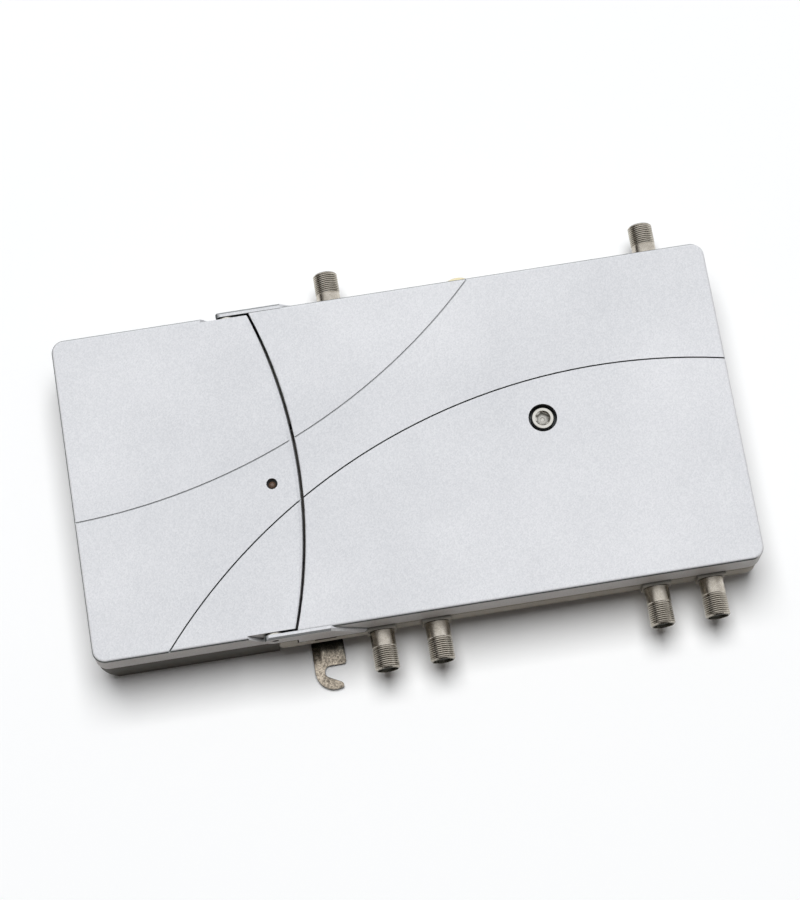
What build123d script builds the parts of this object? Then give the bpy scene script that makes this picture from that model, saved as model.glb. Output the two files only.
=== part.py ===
from build123d import *
import math
import os

# Frame: X runs along the body from the power supply to the amplifier, Y from the front edge
# with four ports to the back edge with two, and Z up from the wall or table face.

# Overall body
LENGTH = 255.0
WIDTH = 128.0
HEIGHT = 29.5
CUT_OVERRUN = 1.0
FACE_GAP = 0.3
RUNNING_GAP = 0.06
MATCH_TOLERANCE = 0.001

# Covers
COVER_WALL = 2.0
CORNER_RADIUS = 5.0
COVER_EDGE_RADIUS = 1.2
JOINT_SHARE = 0.1592
JOINT_RADIUS = 197.6
JOINT_GAP = 0.9
JOINT_EDGE_WIDTH = 1.7
JOINT_EDGE_END_WIDTH = 0.35
JOINT_SLOPE_WIDTH_SHARES = (1.0, 0.45)
JOINT_SLOPE_FALLS = (0.5, 1.8)
JOINT_LIP_RADIUS = 0.4

# Engraved arcs, one dipping to the left, one rising over the screw
GROOVE_WIDTH = 0.55
DIP_ARC_DEPTH = 0.4
RISE_ARC_DEPTH = 0.9
DIP_ARC_X = -136.5
DIP_ARC_Y = 229.4
DIP_ARC_RADIUS = 238.6
RISE_ARC_X = 79.3
RISE_ARC_Y = -208.9
RISE_ARC_RADIUS = 229.8

# Hinge ears of the amplifier cover
PIN_TO_JOINT = 18.7
PIN_DROP = 3.3
PIN_RADIUS = 1.25
EAR_PROUD = 1.4
EAR_THICKNESS = 1.9
EAR_END_RADIUS = 4.0
EAR_GAP = 0.9
PAD_FROM_JOINT = 2.6
PAD_SLANT_RUN = 13.5
PAD_CHAMFER = 0.8
RECESS_RAMP = 5.2
PIN_BOSS_DEPTH = 3.2
PIN_BOSS_LEFT_LENGTH = 11.0
PIN_BOSS_RIGHT_LENGTH = 4.5

# Cover screw and its cup
SCREW_SHARE = 0.564
SCREW_Y = 3.5
SCREW_CUP_RADIUS = 5.5
SCREW_CUP_DEPTH = 5.4
SCREW_HEAD_RADIUS = 4.25
SCREW_HEAD_HEIGHT = 5.0
SCREW_HEX_ACROSS = 4.0
SCREW_HEX_DEPTH = 2.6
SCREW_SHANK_RADIUS = 2.45
SCREW_SHANK_GAP = 0.3
SCREW_LENGTH = 9.4
SCREW_TIP_CHAMFER = 0.8
RETAINER_RADIUS = 4.0
RETAINER_THICKNESS = 0.6
NUT_ACROSS = 8.0
NUT_THICKNESS = 2.4
NUT_CHAMFER = 0.5
PILLAR_RADIUS = 7.0

# Status light
LIGHT_TO_JOINT = 11.0
LIGHT_Y = -5.7
LIGHT_HOLE_RADIUS = 2.15
LIGHT_RADIUS = 1.5
LIGHT_FLANGE_RADIUS = 1.9
LIGHT_FLANGE_HEIGHT = 1.0
LIGHT_DROP = 1.0
LIGHT_LENGTH = 5.3
LIGHT_HOLDER_SIDE = 8.0
LIGHT_HOLDER_HEIGHT = 6.4

# Amplifier chassis
CHASSIS_LEFT_TO_JOINT = 17.4
RIB_HEIGHT_SHARE = 0.2271
CHASSIS_FLOOR = 2.5
CHASSIS_WALL = 2.4
CHASSIS_INSET = 0.2
CHASSIS_DRAFT = 1.0
PARTING_GAP = 0.5
SKIRT_GAP = 0.6
RIM_DROP = 1.7
EDGE_WALL_FROM_JOINT = 2.2
PARTING_LINE_DROP = 1.7
PARTING_LINE_WIDTH = 0.5
PARTING_LINE_DEPTH = 0.45
CHASSIS_PAD_HEIGHT = 5.0
CHASSIS_PAD_RADIUS = 3.0
PRY_SLOT_LENGTH = 8.2
PRY_SLOT_HEIGHT = 1.4
PRY_SLOT_DEPTH = 1.3
RIB_THICKNESS = 2.0
RIB_PITCH_SHARE = 0.0353
RIB_END_INSET = 8.0
RIB_COUNT_LEFT = 3
RIB_COUNT_RIGHT = 12
KEYHOLE_TO_SCREW = 1.7
KEYHOLE_Y = 34.0
KEYHOLE_PAD_LENGTH = 26.0
KEYHOLE_PAD_WIDTH = 16.0
KEYHOLE_ENTRY_RADIUS = 4.7
KEYHOLE_SLOT_WIDTH = 4.8
KEYHOLE_SLOT_REACH = 9.0
KEYHOLE_SKIN = 2.0
KEYHOLE_POCKET_DEPTH = 6.2
CABLE_NOTCH_WIDTH = 6.0

# F ports: threaded outside, 3/8 inch
PORT_COLLAR_RADIUS = 4.7
PORT_COLLAR_END = 7.5
PORT_THREAD_RADIUS = 4.76
PORT_REACH = 16.2
PORT_CHAMFER = 0.6
PORT_NECK_RADIUS = 4.45
PORT_NECK_LENGTH = 0.5
PORT_BORE_RADIUS = 3.9
PORT_SHANK_RADIUS = 4.0
PORT_SHANK_WALL = 0.94
INSULATOR_RECESS = 1.2
INSULATOR_HOLE_RADIUS = 0.65
INSULATOR_FUNNEL = 0.8
PORT_CONTACT_RADIUS = 0.6
PORT_CONTACT_INNER = 4.0
PORT_BOSS_WIDTH = 10.8
PORT_BOSS_PROUD = 1.1
PORT_BOSS_ROUNDING = 0.8
PORT_BOSS_DROP = 5.0
FRONT_PORT_LEFT_SHARE = 0.1273
FRONT_PORT_END_INSET = 19.6
FRONT_PORT_PITCH = 21.2
REAR_PORT_LEFT_SHARE = 0.1309
REAR_PORT_END_INSET = 20.2

# Nylon plug in the back wall
REAR_PLUG_SHARE = 0.4319
REAR_PLUG_RISE = 2.2
REAR_PLUG_RADIUS = 4.3
REAR_PLUG_PROUD = 4.7
REAR_PLUG_SHANK_RADIUS = 2.8
REAR_PLUG_ROUNDING = 1.2

# Wall hook
HOOK_LEFT_TO_JOINT = 5.9
HOOK_WIDTH = 12.4
HOOK_THICKNESS = 1.6
HOOK_REACH = 18.2
HOOK_INNER_LENGTH = 22.0
HOOK_BOW_RADIUS = 7.1
HOOK_SEAT_RADIUS = 2.3
HOOK_SEAT_OFFSET = 1.1
HOOK_TIP_SETBACK = 2.3
HOOK_MOUTH_ANGLE = 28.0
HOOK_LIP_RADIUS = 1.3
HOOK_SCREW_INSET = 10.0
HOOK_SCREW_HEAD_RADIUS = 2.9
HOOK_SCREW_HEAD_HEIGHT = 1.3
HOOK_BOSS_RADIUS = 5.5

# Small pan head screws
SMALL_SCREW_RADIUS = 1.5
SMALL_HEAD_RADIUS = 2.8
SMALL_HEAD_HEIGHT = 1.8
SMALL_SCREW_LENGTH = 7.0
SMALL_RECESS_RADIUS = 1.2
SMALL_RECESS_DEPTH = 0.9

# Power supply base
BASE_TO_JOINT = 17.7
BASE_FLOOR = 2.4
BASE_WALL = 2.2
BASE_INSET = 0.3
BASE_DRAFT = 0.6
BASE_SLOPE_RUN = 6.6
BASE_SLOPE_HEIGHT = 14.0
BASE_LIP_WALL = 1.2
BASE_LIP_HEIGHT = 2.5
LUG_LENGTH = 11.0
LUG_WIDTH = 16.0
LUG_THICKNESS = 2.2
LUG_Y = 34.0
NUB_RADIUS = 0.55
NUB_PITCH = 2.6
NUB_INSET = 13.9
HOUSING_SCREW_END_INSET = 10.9
HOUSING_SCREW_TO_BASE_END = 11.7
HOUSING_SCREW_SIDE_INSET = 9.5
HOUSING_BOSS_RADIUS = 4.2
HOUSING_SCREW_BITE = 6.0

# Cord gland in the back wall of the base
GLAND_SHARE = 0.3974
GLAND_Z = 9.4
GLAND_BORE_RADIUS = 3.3
GLAND_BODY_RADIUS = 5.0
GLAND_FLANGE_RADIUS = 6.4
GLAND_FLANGE_LENGTH = 3.2
GLAND_NUT_LENGTH = 3.0
GLAND_FLAT_COUNT = 6

# Amplifier board and what it carries
BOARD_THICKNESS = 1.6
BOARD_RISE = 0.9
BOARD_MARGIN = 1.0
BOARD_CORNER = 1.5
BOARD_BOSS_RADIUS = 3.2
BOARD_SCREW_MARGIN = 7.0
PILLAR_CLEARANCE = 0.8
INPUT_SHIELD_SHARE = 0.2177
INPUT_SHIELD_Y = 28.0
SHIELD_LENGTH = 46.0
SHIELD_WIDTH = 38.0
SHIELD_HEIGHT = 7.0
SHIELD_SHEET = 0.5
SHIELD_HOLE_RADIUS = 1.6
SHIELD_HOLE_PITCH = 9.0
OUTPUT_SHIELD_SHARE = 0.7888
OUTPUT_SHIELD_Y = -27.0
MODULE_SHARE = 0.7888
MODULE_Y = 24.0
MODULE_LENGTH = 30.0
MODULE_WIDTH = 13.6
MODULE_HEIGHT = 7.4
MODULE_FLANGE_LENGTH = 44.5
MODULE_FLANGE_HEIGHT = 2.6
TRIMMER_SHARE = 0.1225
TRIMMER_Y = -24.0
TRIMMER_PITCH_SHARE = 0.1011
TRIMMER_SIDE = 9.5
TRIMMER_HEIGHT = 4.6
TRIMMER_ROTOR_RADIUS = 3.4
TRIMMER_ROTOR_HEIGHT = 2.2
TRIMMER_ROTOR_SINK = 1.2
TRIMMER_SLOT_WIDTH = 1.0
TRIMMER_SLOT_DEPTH = 0.8
TRIMMER_POINTER_SHARE = 0.62
PAD_MODULE_SHARE = 0.4438
PAD_MODULE_Y = -36.0
PAD_MODULE_PITCH = 9.0
PAD_MODULE_LENGTH = 14.0
PAD_MODULE_WIDTH = 3.6
PAD_MODULE_HEIGHT = 7.6
PAD_SOCKET_HEIGHT = 2.6
COIL_SHARE = 0.4438
COIL_Y = 36.0
COIL_PITCH = 8.0
COIL_RADIUS = 2.4
COIL_BORE_RADIUS = 1.4
COIL_LENGTH = 6.0
COIL_COUNT = 4
SMOOTHING_SHARE = 0.5866
SMOOTHING_INSET = 15.0
SMOOTHING_PITCH = 11.0
SMOOTHING_RADIUS = 4.0
SMOOTHING_HEIGHT = 7.4

# Power supply board and what it carries
SUPPLY_BOARD_END_INSET = 10.0
SUPPLY_BOARD_TO_BASE_END = 5.7
SUPPLY_BOARD_SIDE_INSET = 18.0
SUPPLY_BOARD_RISE = 3.0
SUPPLY_SCREW_MARGIN = 5.0
CORE_SHARE = 0.4986
CORE_Y = -2.0
CORE_LENGTH = 28.0
CORE_WIDTH = 10.0
CORE_HEADROOM = 3.5
CORE_LEG = 6.0
WINDING_RADIUS = 10.5
WINDING_FLANGE = 1.2
MAINS_CAPACITOR_SHARE = 0.3396
MAINS_CAPACITOR_FROM_SINK = 8.8
MAINS_CAPACITOR_RADIUS = 9.0
MAINS_CAPACITOR_HEADROOM = 3.0
CAPACITOR_ROUNDING = 0.8
OUTPUT_CAPACITOR_SHARE = 0.78
OUTPUT_CAPACITOR_FROM_SINK = 12.0
OUTPUT_CAPACITOR_RADIUS = 5.0
OUTPUT_CAPACITOR_HEADROOM = 5.5
OUTPUT_CAPACITOR_PITCH = 12.0
SINK_SHARE = 0.6
SINK_LENGTH_SHARE = 0.29
SINK_SHEET = 2.0
SINK_HEADROOM = 4.5
SINK_FIN_REACH = 8.0
SINK_FIN_COUNT = 4
TRANSISTOR_LENGTH = 10.0
TRANSISTOR_THICKNESS = 4.4
TRANSISTOR_HEADROOM = 5.5
FUSE_INSET = 8.0
FUSE_Y = 20.0
FUSE_LENGTH = 20.0
FUSE_RADIUS = 2.6
FUSE_CAP_LENGTH = 5.0
FUSE_CAP_EXTRA = 0.15
FUSE_RISE = 4.0
CLIP_WIDTH = 4.0
CLIP_SHEET = 0.5
TERMINAL_INSET = 19.5
TERMINAL_Y = 37.5
TERMINAL_LENGTH = 20.0
TERMINAL_WIDTH = 10.0
TERMINAL_HEIGHT = 11.0
TERMINAL_STEP = 4.0
TERMINAL_WAY_COUNT = 3
TERMINAL_ENTRY_RADIUS = 1.6

# Supply link to the amplifier
LINK_Y = 20.0
LINK_Z = 14.4
LINK_WIRE_RADIUS = 1.1
LINK_BEND_RADIUS = 3.0
LINK_START_TO_JOINT = 26.9
FEED_RADIUS = 2.4
FEED_FLANGE_RADIUS = 3.2
FEED_FLANGE_LENGTH = 0.9

# Cover gasket
GASKET_WIDTH = 1.5
GASKET_GAP = 0.2

# Heights worked out from the sizes above, from the wall face upwards
CHASSIS_BOTTOM_Z = HEIGHT * RIB_HEIGHT_SHARE
CHASSIS_FLOOR_Z = CHASSIS_BOTTOM_Z + CHASSIS_FLOOR
BOARD_BOTTOM_Z = CHASSIS_FLOOR_Z + BOARD_RISE
BOARD_TOP_Z = BOARD_BOTTOM_Z + BOARD_THICKNESS
PORT_AXIS_Z = BOARD_TOP_Z + PORT_CONTACT_RADIUS
LEDGE_Z = PORT_AXIS_Z + PORT_COLLAR_RADIUS
SKIRT_BOTTOM_Z = LEDGE_Z + PARTING_GAP
COVER_UNDERSIDE_Z = HEIGHT - COVER_WALL
RIM_Z = COVER_UNDERSIDE_Z - RIM_DROP
PIN_Z = HEIGHT - PIN_DROP
REAR_PLUG_Z = PORT_AXIS_Z + REAR_PLUG_RISE
SCREW_FLOOR_Z = HEIGHT - SCREW_CUP_DEPTH
SCREW_CUP_BOTTOM_Z = SCREW_FLOOR_Z - COVER_WALL
SCREW_TIP_Z = SCREW_FLOOR_Z - SCREW_LENGTH
NUT_BOTTOM_Z = SCREW_TIP_Z + SCREW_TIP_CHAMFER / 2
NUT_TOP_Z = NUT_BOTTOM_Z + NUT_THICKNESS
LUG_BOTTOM_Z = CHASSIS_FLOOR_Z
SUPPLY_BOARD_BOTTOM_Z = BASE_FLOOR + SUPPLY_BOARD_RISE
SUPPLY_BOARD_TOP_Z = SUPPLY_BOARD_BOTTOM_Z + BOARD_THICKNESS
SUPPLY_HEADROOM = COVER_UNDERSIDE_Z - SUPPLY_BOARD_TOP_Z
CORE_HEIGHT = SUPPLY_HEADROOM - CORE_HEADROOM
MAINS_CAPACITOR_HEIGHT = SUPPLY_HEADROOM - MAINS_CAPACITOR_HEADROOM
OUTPUT_CAPACITOR_HEIGHT = SUPPLY_HEADROOM - OUTPUT_CAPACITOR_HEADROOM
SINK_HEIGHT = SUPPLY_HEADROOM - SINK_HEADROOM
TRANSISTOR_HEIGHT = SUPPLY_HEADROOM - TRANSISTOR_HEADROOM
HOUSING_SCREW_SEAT_Z = SMALL_HEAD_HEIGHT + FACE_GAP
HOUSING_SCREW_TIP_Z = SKIRT_BOTTOM_Z + HOUSING_SCREW_BITE

# Places along the body: those near the joint keep their distance from it
HALF_LENGTH = LENGTH / 2
JOINT_MIDDLE_X = -LENGTH * JOINT_SHARE
JOINT_CENTRE_X = JOINT_MIDDLE_X - JOINT_RADIUS
PIN_X = JOINT_MIDDLE_X - PIN_TO_JOINT
PAD_RIGHT_X = JOINT_MIDDLE_X + PAD_FROM_JOINT
PRY_SLOT_X = JOINT_MIDDLE_X
LIGHT_X = JOINT_MIDDLE_X - LIGHT_TO_JOINT
LINK_START_X = JOINT_MIDDLE_X - LINK_START_TO_JOINT
HOOK_LEFT_X = JOINT_MIDDLE_X - HOOK_LEFT_TO_JOINT
CHASSIS_LEFT_X = JOINT_MIDDLE_X - CHASSIS_LEFT_TO_JOINT
CHASSIS_EDGE_WALL_X = JOINT_MIDDLE_X + EDGE_WALL_FROM_JOINT
CHASSIS_RIGHT_X = HALF_LENGTH - CHASSIS_INSET
UPPER_RIGHT_X = HALF_LENGTH - COVER_WALL - SKIRT_GAP
CAVITY_RIGHT_X = UPPER_RIGHT_X - CHASSIS_WALL
CAVITY_LEFT_X = CHASSIS_EDGE_WALL_X + CHASSIS_WALL
BASE_LEFT_X = BASE_INSET - HALF_LENGTH
BASE_RIGHT_X = JOINT_MIDDLE_X - BASE_TO_JOINT
HOUSING_SCREW_X_LEFT = HOUSING_SCREW_END_INSET - HALF_LENGTH
HOUSING_SCREW_X_RIGHT = BASE_RIGHT_X - HOUSING_SCREW_TO_BASE_END
SUPPLY_BOARD_LEFT_X = SUPPLY_BOARD_END_INSET - HALF_LENGTH
SUPPLY_BOARD_RIGHT_X = BASE_RIGHT_X - SUPPLY_BOARD_TO_BASE_END
FUSE_X = SUPPLY_BOARD_LEFT_X + FUSE_INSET
TERMINAL_X = SUPPLY_BOARD_LEFT_X + TERMINAL_INSET
NUB_X = NUB_INSET - HALF_LENGTH
RIB_PITCH = LENGTH * RIB_PITCH_SHARE

# The others stand at a share of the amplifier's or of the power supply's length
AMPLIFIER_SPAN = HALF_LENGTH - JOINT_MIDDLE_X
SUPPLY_SPAN = BASE_RIGHT_X + HALF_LENGTH
SCREW_X = JOINT_MIDDLE_X + AMPLIFIER_SPAN * SCREW_SHARE
KEYHOLE_X = SCREW_X - KEYHOLE_TO_SCREW
REAR_PLUG_X = JOINT_MIDDLE_X + AMPLIFIER_SPAN * REAR_PLUG_SHARE
INPUT_SHIELD_X = JOINT_MIDDLE_X + AMPLIFIER_SPAN * INPUT_SHIELD_SHARE
OUTPUT_SHIELD_X = JOINT_MIDDLE_X + AMPLIFIER_SPAN * OUTPUT_SHIELD_SHARE
MODULE_X = JOINT_MIDDLE_X + AMPLIFIER_SPAN * MODULE_SHARE
TRIMMER_X = JOINT_MIDDLE_X + AMPLIFIER_SPAN * TRIMMER_SHARE
TRIMMER_PITCH = AMPLIFIER_SPAN * TRIMMER_PITCH_SHARE
PAD_MODULE_X = JOINT_MIDDLE_X + AMPLIFIER_SPAN * PAD_MODULE_SHARE
COIL_X = JOINT_MIDDLE_X + AMPLIFIER_SPAN * COIL_SHARE
SMOOTHING_X = JOINT_MIDDLE_X + AMPLIFIER_SPAN * SMOOTHING_SHARE
FRONT_PORT_LEFT_X = JOINT_MIDDLE_X + AMPLIFIER_SPAN * FRONT_PORT_LEFT_SHARE
FRONT_PORT_RIGHT_X = HALF_LENGTH - FRONT_PORT_END_INSET
REAR_PORT_LEFT_X = JOINT_MIDDLE_X + AMPLIFIER_SPAN * REAR_PORT_LEFT_SHARE
REAR_PORT_RIGHT_X = HALF_LENGTH - REAR_PORT_END_INSET
GLAND_X = SUPPLY_SPAN * GLAND_SHARE - HALF_LENGTH
CORE_X = SUPPLY_SPAN * CORE_SHARE - HALF_LENGTH
MAINS_CAPACITOR_X = SUPPLY_SPAN * MAINS_CAPACITOR_SHARE - HALF_LENGTH
OUTPUT_CAPACITOR_X = SUPPLY_SPAN * OUTPUT_CAPACITOR_SHARE - HALF_LENGTH
SINK_X = SUPPLY_SPAN * SINK_SHARE - HALF_LENGTH
SINK_LENGTH = SUPPLY_SPAN * SINK_LENGTH_SHARE

# Places across the body
HALF_WIDTH = WIDTH / 2
AMPLIFIER_JOINT_RADIUS = JOINT_RADIUS + JOINT_GAP / 2
SUPPLY_JOINT_RADIUS = JOINT_RADIUS - JOINT_GAP / 2
EAR_OUTER_Y = HALF_WIDTH + EAR_PROUD
EAR_INNER_Y = EAR_OUTER_Y - EAR_THICKNESS
RECESS_Y = EAR_INNER_Y - EAR_GAP
CHASSIS_HALF_WIDTH = HALF_WIDTH - CHASSIS_INSET
UPPER_HALF_WIDTH = HALF_WIDTH - COVER_WALL - SKIRT_GAP
CAVITY_HALF_WIDTH = UPPER_HALF_WIDTH - CHASSIS_WALL
BASE_HALF_WIDTH = HALF_WIDTH - BASE_INSET
LIP_HALF_WIDTH = HALF_WIDTH - COVER_WALL - FACE_GAP
HOUSING_SCREW_Y = HALF_WIDTH - HOUSING_SCREW_SIDE_INSET
SUPPLY_BOARD_HALF_WIDTH = HALF_WIDTH - SUPPLY_BOARD_SIDE_INSET
SMOOTHING_Y = SMOOTHING_INSET - CAVITY_HALF_WIDTH
SINK_Y = SINK_FIN_REACH - SUPPLY_BOARD_HALF_WIDTH
MAINS_CAPACITOR_Y = SINK_Y + MAINS_CAPACITOR_FROM_SINK
OUTPUT_CAPACITOR_Y = SINK_Y + OUTPUT_CAPACITOR_FROM_SINK
SCREW_HOLE_RADIUS = SCREW_SHANK_RADIUS + SCREW_SHANK_GAP
FRONT_PORTS_X = (
    FRONT_PORT_LEFT_X,
    FRONT_PORT_LEFT_X + FRONT_PORT_PITCH,
    FRONT_PORT_RIGHT_X - FRONT_PORT_PITCH,
    FRONT_PORT_RIGHT_X,
)
REAR_PORTS_X = (REAR_PORT_LEFT_X, REAR_PORT_RIGHT_X)
PORTS = [(x, -1) for x in FRONT_PORTS_X] + [(x, 1) for x in REAR_PORTS_X]
SIDES = (-1, 1)


def rounded_outline(left, right, half_width, radius):
    """Rounded rectangle from left to right, centred on the X axis."""
    middle = (left + right) / 2
    return Pos(middle, 0) * RectangleRounded(right - left, 2 * half_width, radius)


def prism(outline, bottom, top, draft=0):
    """Upright prism between two heights; a draft narrows it towards the bottom."""
    if draft:
        return extrude(Pos(0, 0, top) * outline, -(top - bottom), taper=draft)
    return extrude(Pos(0, 0, bottom) * outline, top - bottom)


def block(left, right, front, back, bottom, top):
    """Box between six named planes."""
    centre = Pos((left + right) / 2, (front + back) / 2, (bottom + top) / 2)
    return centre * Box(right - left, back - front, top - bottom)


def column(x, y, radius, bottom, top):
    """Upright cylinder between two heights."""
    return Pos(x, y, (bottom + top) / 2) * Cylinder(radius, top - bottom)


def cross_rod(x, z, radius, start, end):
    """Cylinder along Y between two places."""
    return Pos(x, (start + end) / 2, z) * Rot(90, 0, 0) * Cylinder(radius, abs(end - start))


def edges_at(solid, axis, place):
    """Edges whose middle lies at one place along an axis."""
    direction = axis.direction
    return ShapeList(
        edge for edge in solid.edges()
        if abs((edge @ 0.5).dot(direction) - place) < MATCH_TOLERANCE
    )


def joint_disc(radius):
    """Disc whose right-hand rim is the curved joint between the two covers."""
    return Pos(JOINT_CENTRE_X, 0) * Circle(radius)


def joint_x(radius, y):
    """Place of the curved joint at one distance from the middle line."""
    return JOINT_CENTRE_X + math.sqrt(radius**2 - y**2)


def arc_groove(x, y, radius, depth):
    """Ring that engraves one long arc in the covers' top face."""
    ring = Circle(radius + GROOVE_WIDTH / 2) - Circle(radius - GROOVE_WIDTH / 2)
    return prism(Pos(x, y) * ring, HEIGHT - depth, HEIGHT + CUT_OVERRUN)


def engraved_arcs():
    """Both engraved arcs."""
    dip = arc_groove(DIP_ARC_X, DIP_ARC_Y, DIP_ARC_RADIUS, DIP_ARC_DEPTH)
    rise = arc_groove(RISE_ARC_X, RISE_ARC_Y, RISE_ARC_RADIUS, RISE_ARC_DEPTH)
    return dip + rise


def top_edges(solid, radius, joint_side):
    """Edges round the top face, either those on the curved joint or all the others."""
    chosen = []
    for edge in edges_at(solid, Axis.Z, HEIGHT):
        middle = edge @ 0.5
        reach = math.hypot(middle.X - JOINT_CENTRE_X, middle.Y)
        on_joint = abs(reach - radius) < MATCH_TOLERANCE
        if on_joint == joint_side:
            chosen.append(edge)
    return chosen


def ear(side):
    """Hinge ear with the pad that carries it, on one long edge of the amplifier cover."""
    edge_x = joint_x(AMPLIFIER_JOINT_RADIUS, HALF_WIDTH)
    arm_bottom = PIN_Z - EAR_END_RADIUS
    arm = Polyline(
        (PIN_X, arm_bottom), (edge_x + EAR_END_RADIUS, arm_bottom),
        (edge_x + EAR_END_RADIUS, HEIGHT), (PIN_X, HEIGHT), close=True,
    )
    flat = Rectangle(2 * EAR_END_RADIUS, PIN_DROP + EAR_END_RADIUS)
    round_end = Circle(EAR_END_RADIUS) & (Pos(0, (PIN_DROP - EAR_END_RADIUS) / 2) * flat)
    outline = make_face(arm) + Pos(PIN_X, PIN_Z) * round_end
    pad = Polyline(
        (edge_x, SKIRT_BOTTOM_Z), (PAD_RIGHT_X + PAD_SLANT_RUN, SKIRT_BOTTOM_Z),
        (PAD_RIGHT_X, HEIGHT), (edge_x, HEIGHT), close=True,
    )
    outline += make_face(pad)
    solid = extrude(Plane.XZ * outline, EAR_THICKNESS / 2, both=True)
    solid = Pos(0, side * (EAR_OUTER_Y + EAR_INNER_Y) / 2, 0) * solid
    outer = [
        edge for edge in edges_at(solid, Axis.Y, side * EAR_OUTER_Y)
        if (edge @ 0.5).Z > PIN_Z or (edge @ 0.5).X > PAD_RIGHT_X
    ]
    bevelled = [edge for edge in outer if (edge @ 0.5).Z > SKIRT_BOTTOM_Z + PAD_CHAMFER]
    return chamfer(bevelled, PAD_CHAMFER)


def amplifier_cover():
    """Hinged cover: plate and skirt in one, two ears, a cup for the screw and both arcs."""
    outline = rounded_outline(-HALF_LENGTH, HALF_LENGTH, HALF_WIDTH, CORNER_RADIUS)
    outline -= joint_disc(AMPLIFIER_JOINT_RADIUS)
    shell = prism(outline, SKIRT_BOTTOM_Z, HEIGHT)
    shell = fillet(top_edges(shell, AMPLIFIER_JOINT_RADIUS, False), COVER_EDGE_RADIUS)
    shell = fillet(top_edges(shell, AMPLIFIER_JOINT_RADIUS, True), JOINT_LIP_RADIUS)
    pocket = rounded_outline(
        COVER_WALL - HALF_LENGTH, HALF_LENGTH - COVER_WALL,
        HALF_WIDTH - COVER_WALL, CORNER_RADIUS - COVER_WALL,
    )
    shell -= prism(pocket, SKIRT_BOTTOM_Z - CUT_OVERRUN, COVER_UNDERSIDE_Z)
    for side in SIDES:
        shell += ear(side)
        start = side * (EAR_INNER_Y - CUT_OVERRUN)
        end = side * (EAR_OUTER_Y + CUT_OVERRUN)
        shell -= cross_rod(PIN_X, PIN_Z, PIN_RADIUS + RUNNING_GAP, start, end)
    cup_radius = SCREW_CUP_RADIUS + COVER_WALL
    shell += column(SCREW_X, SCREW_Y, cup_radius, SCREW_CUP_BOTTOM_Z, COVER_UNDERSIDE_Z)
    shell -= column(SCREW_X, SCREW_Y, SCREW_CUP_RADIUS, SCREW_FLOOR_Z, HEIGHT + CUT_OVERRUN)
    shell -= column(
        SCREW_X, SCREW_Y, SCREW_SHANK_RADIUS + RUNNING_GAP,
        SCREW_CUP_BOTTOM_Z - CUT_OVERRUN, SCREW_FLOOR_Z + CUT_OVERRUN,
    )
    return shell - engraved_arcs()


def ear_recess(side):
    """Space that one ear needs beside the power supply cover, with a ramp at its far end."""
    floor = PIN_Z - EAR_END_RADIUS - FACE_GAP
    top = HEIGHT + CUT_OVERRUN
    pit = PIN_X - EAR_END_RADIUS - EAR_GAP
    run = RECESS_RAMP * (top - floor) / (HEIGHT - floor)
    outline = Polyline(
        (JOINT_MIDDLE_X, floor), (JOINT_MIDDLE_X, top), (pit - run, top), (pit, floor),
        close=True,
    )
    outer = HALF_WIDTH + CUT_OVERRUN
    solid = extrude(Plane.XZ * make_face(outline), (outer - RECESS_Y) / 2, both=True)
    return Pos(0, side * (outer + RECESS_Y) / 2, 0) * solid


def joint_slope(width_share, fall):
    """Cone that slopes the curved edge off, widest in the middle of the joint."""
    reach = math.sqrt(SUPPLY_JOINT_RADIUS ** 2 - HALF_WIDTH ** 2)
    width = JOINT_EDGE_WIDTH * width_share
    sagitta = SUPPLY_JOINT_RADIUS - reach - width + JOINT_EDGE_END_WIDTH * width_share
    radius = (HALF_WIDTH ** 2 + sagitta ** 2) / (2 * sagitta)
    centre = JOINT_CENTRE_X + SUPPLY_JOINT_RADIUS - width - radius
    return Pos(centre, 0, HEIGHT / 2) * Cone(radius + HEIGHT / fall, radius, HEIGHT)


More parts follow.
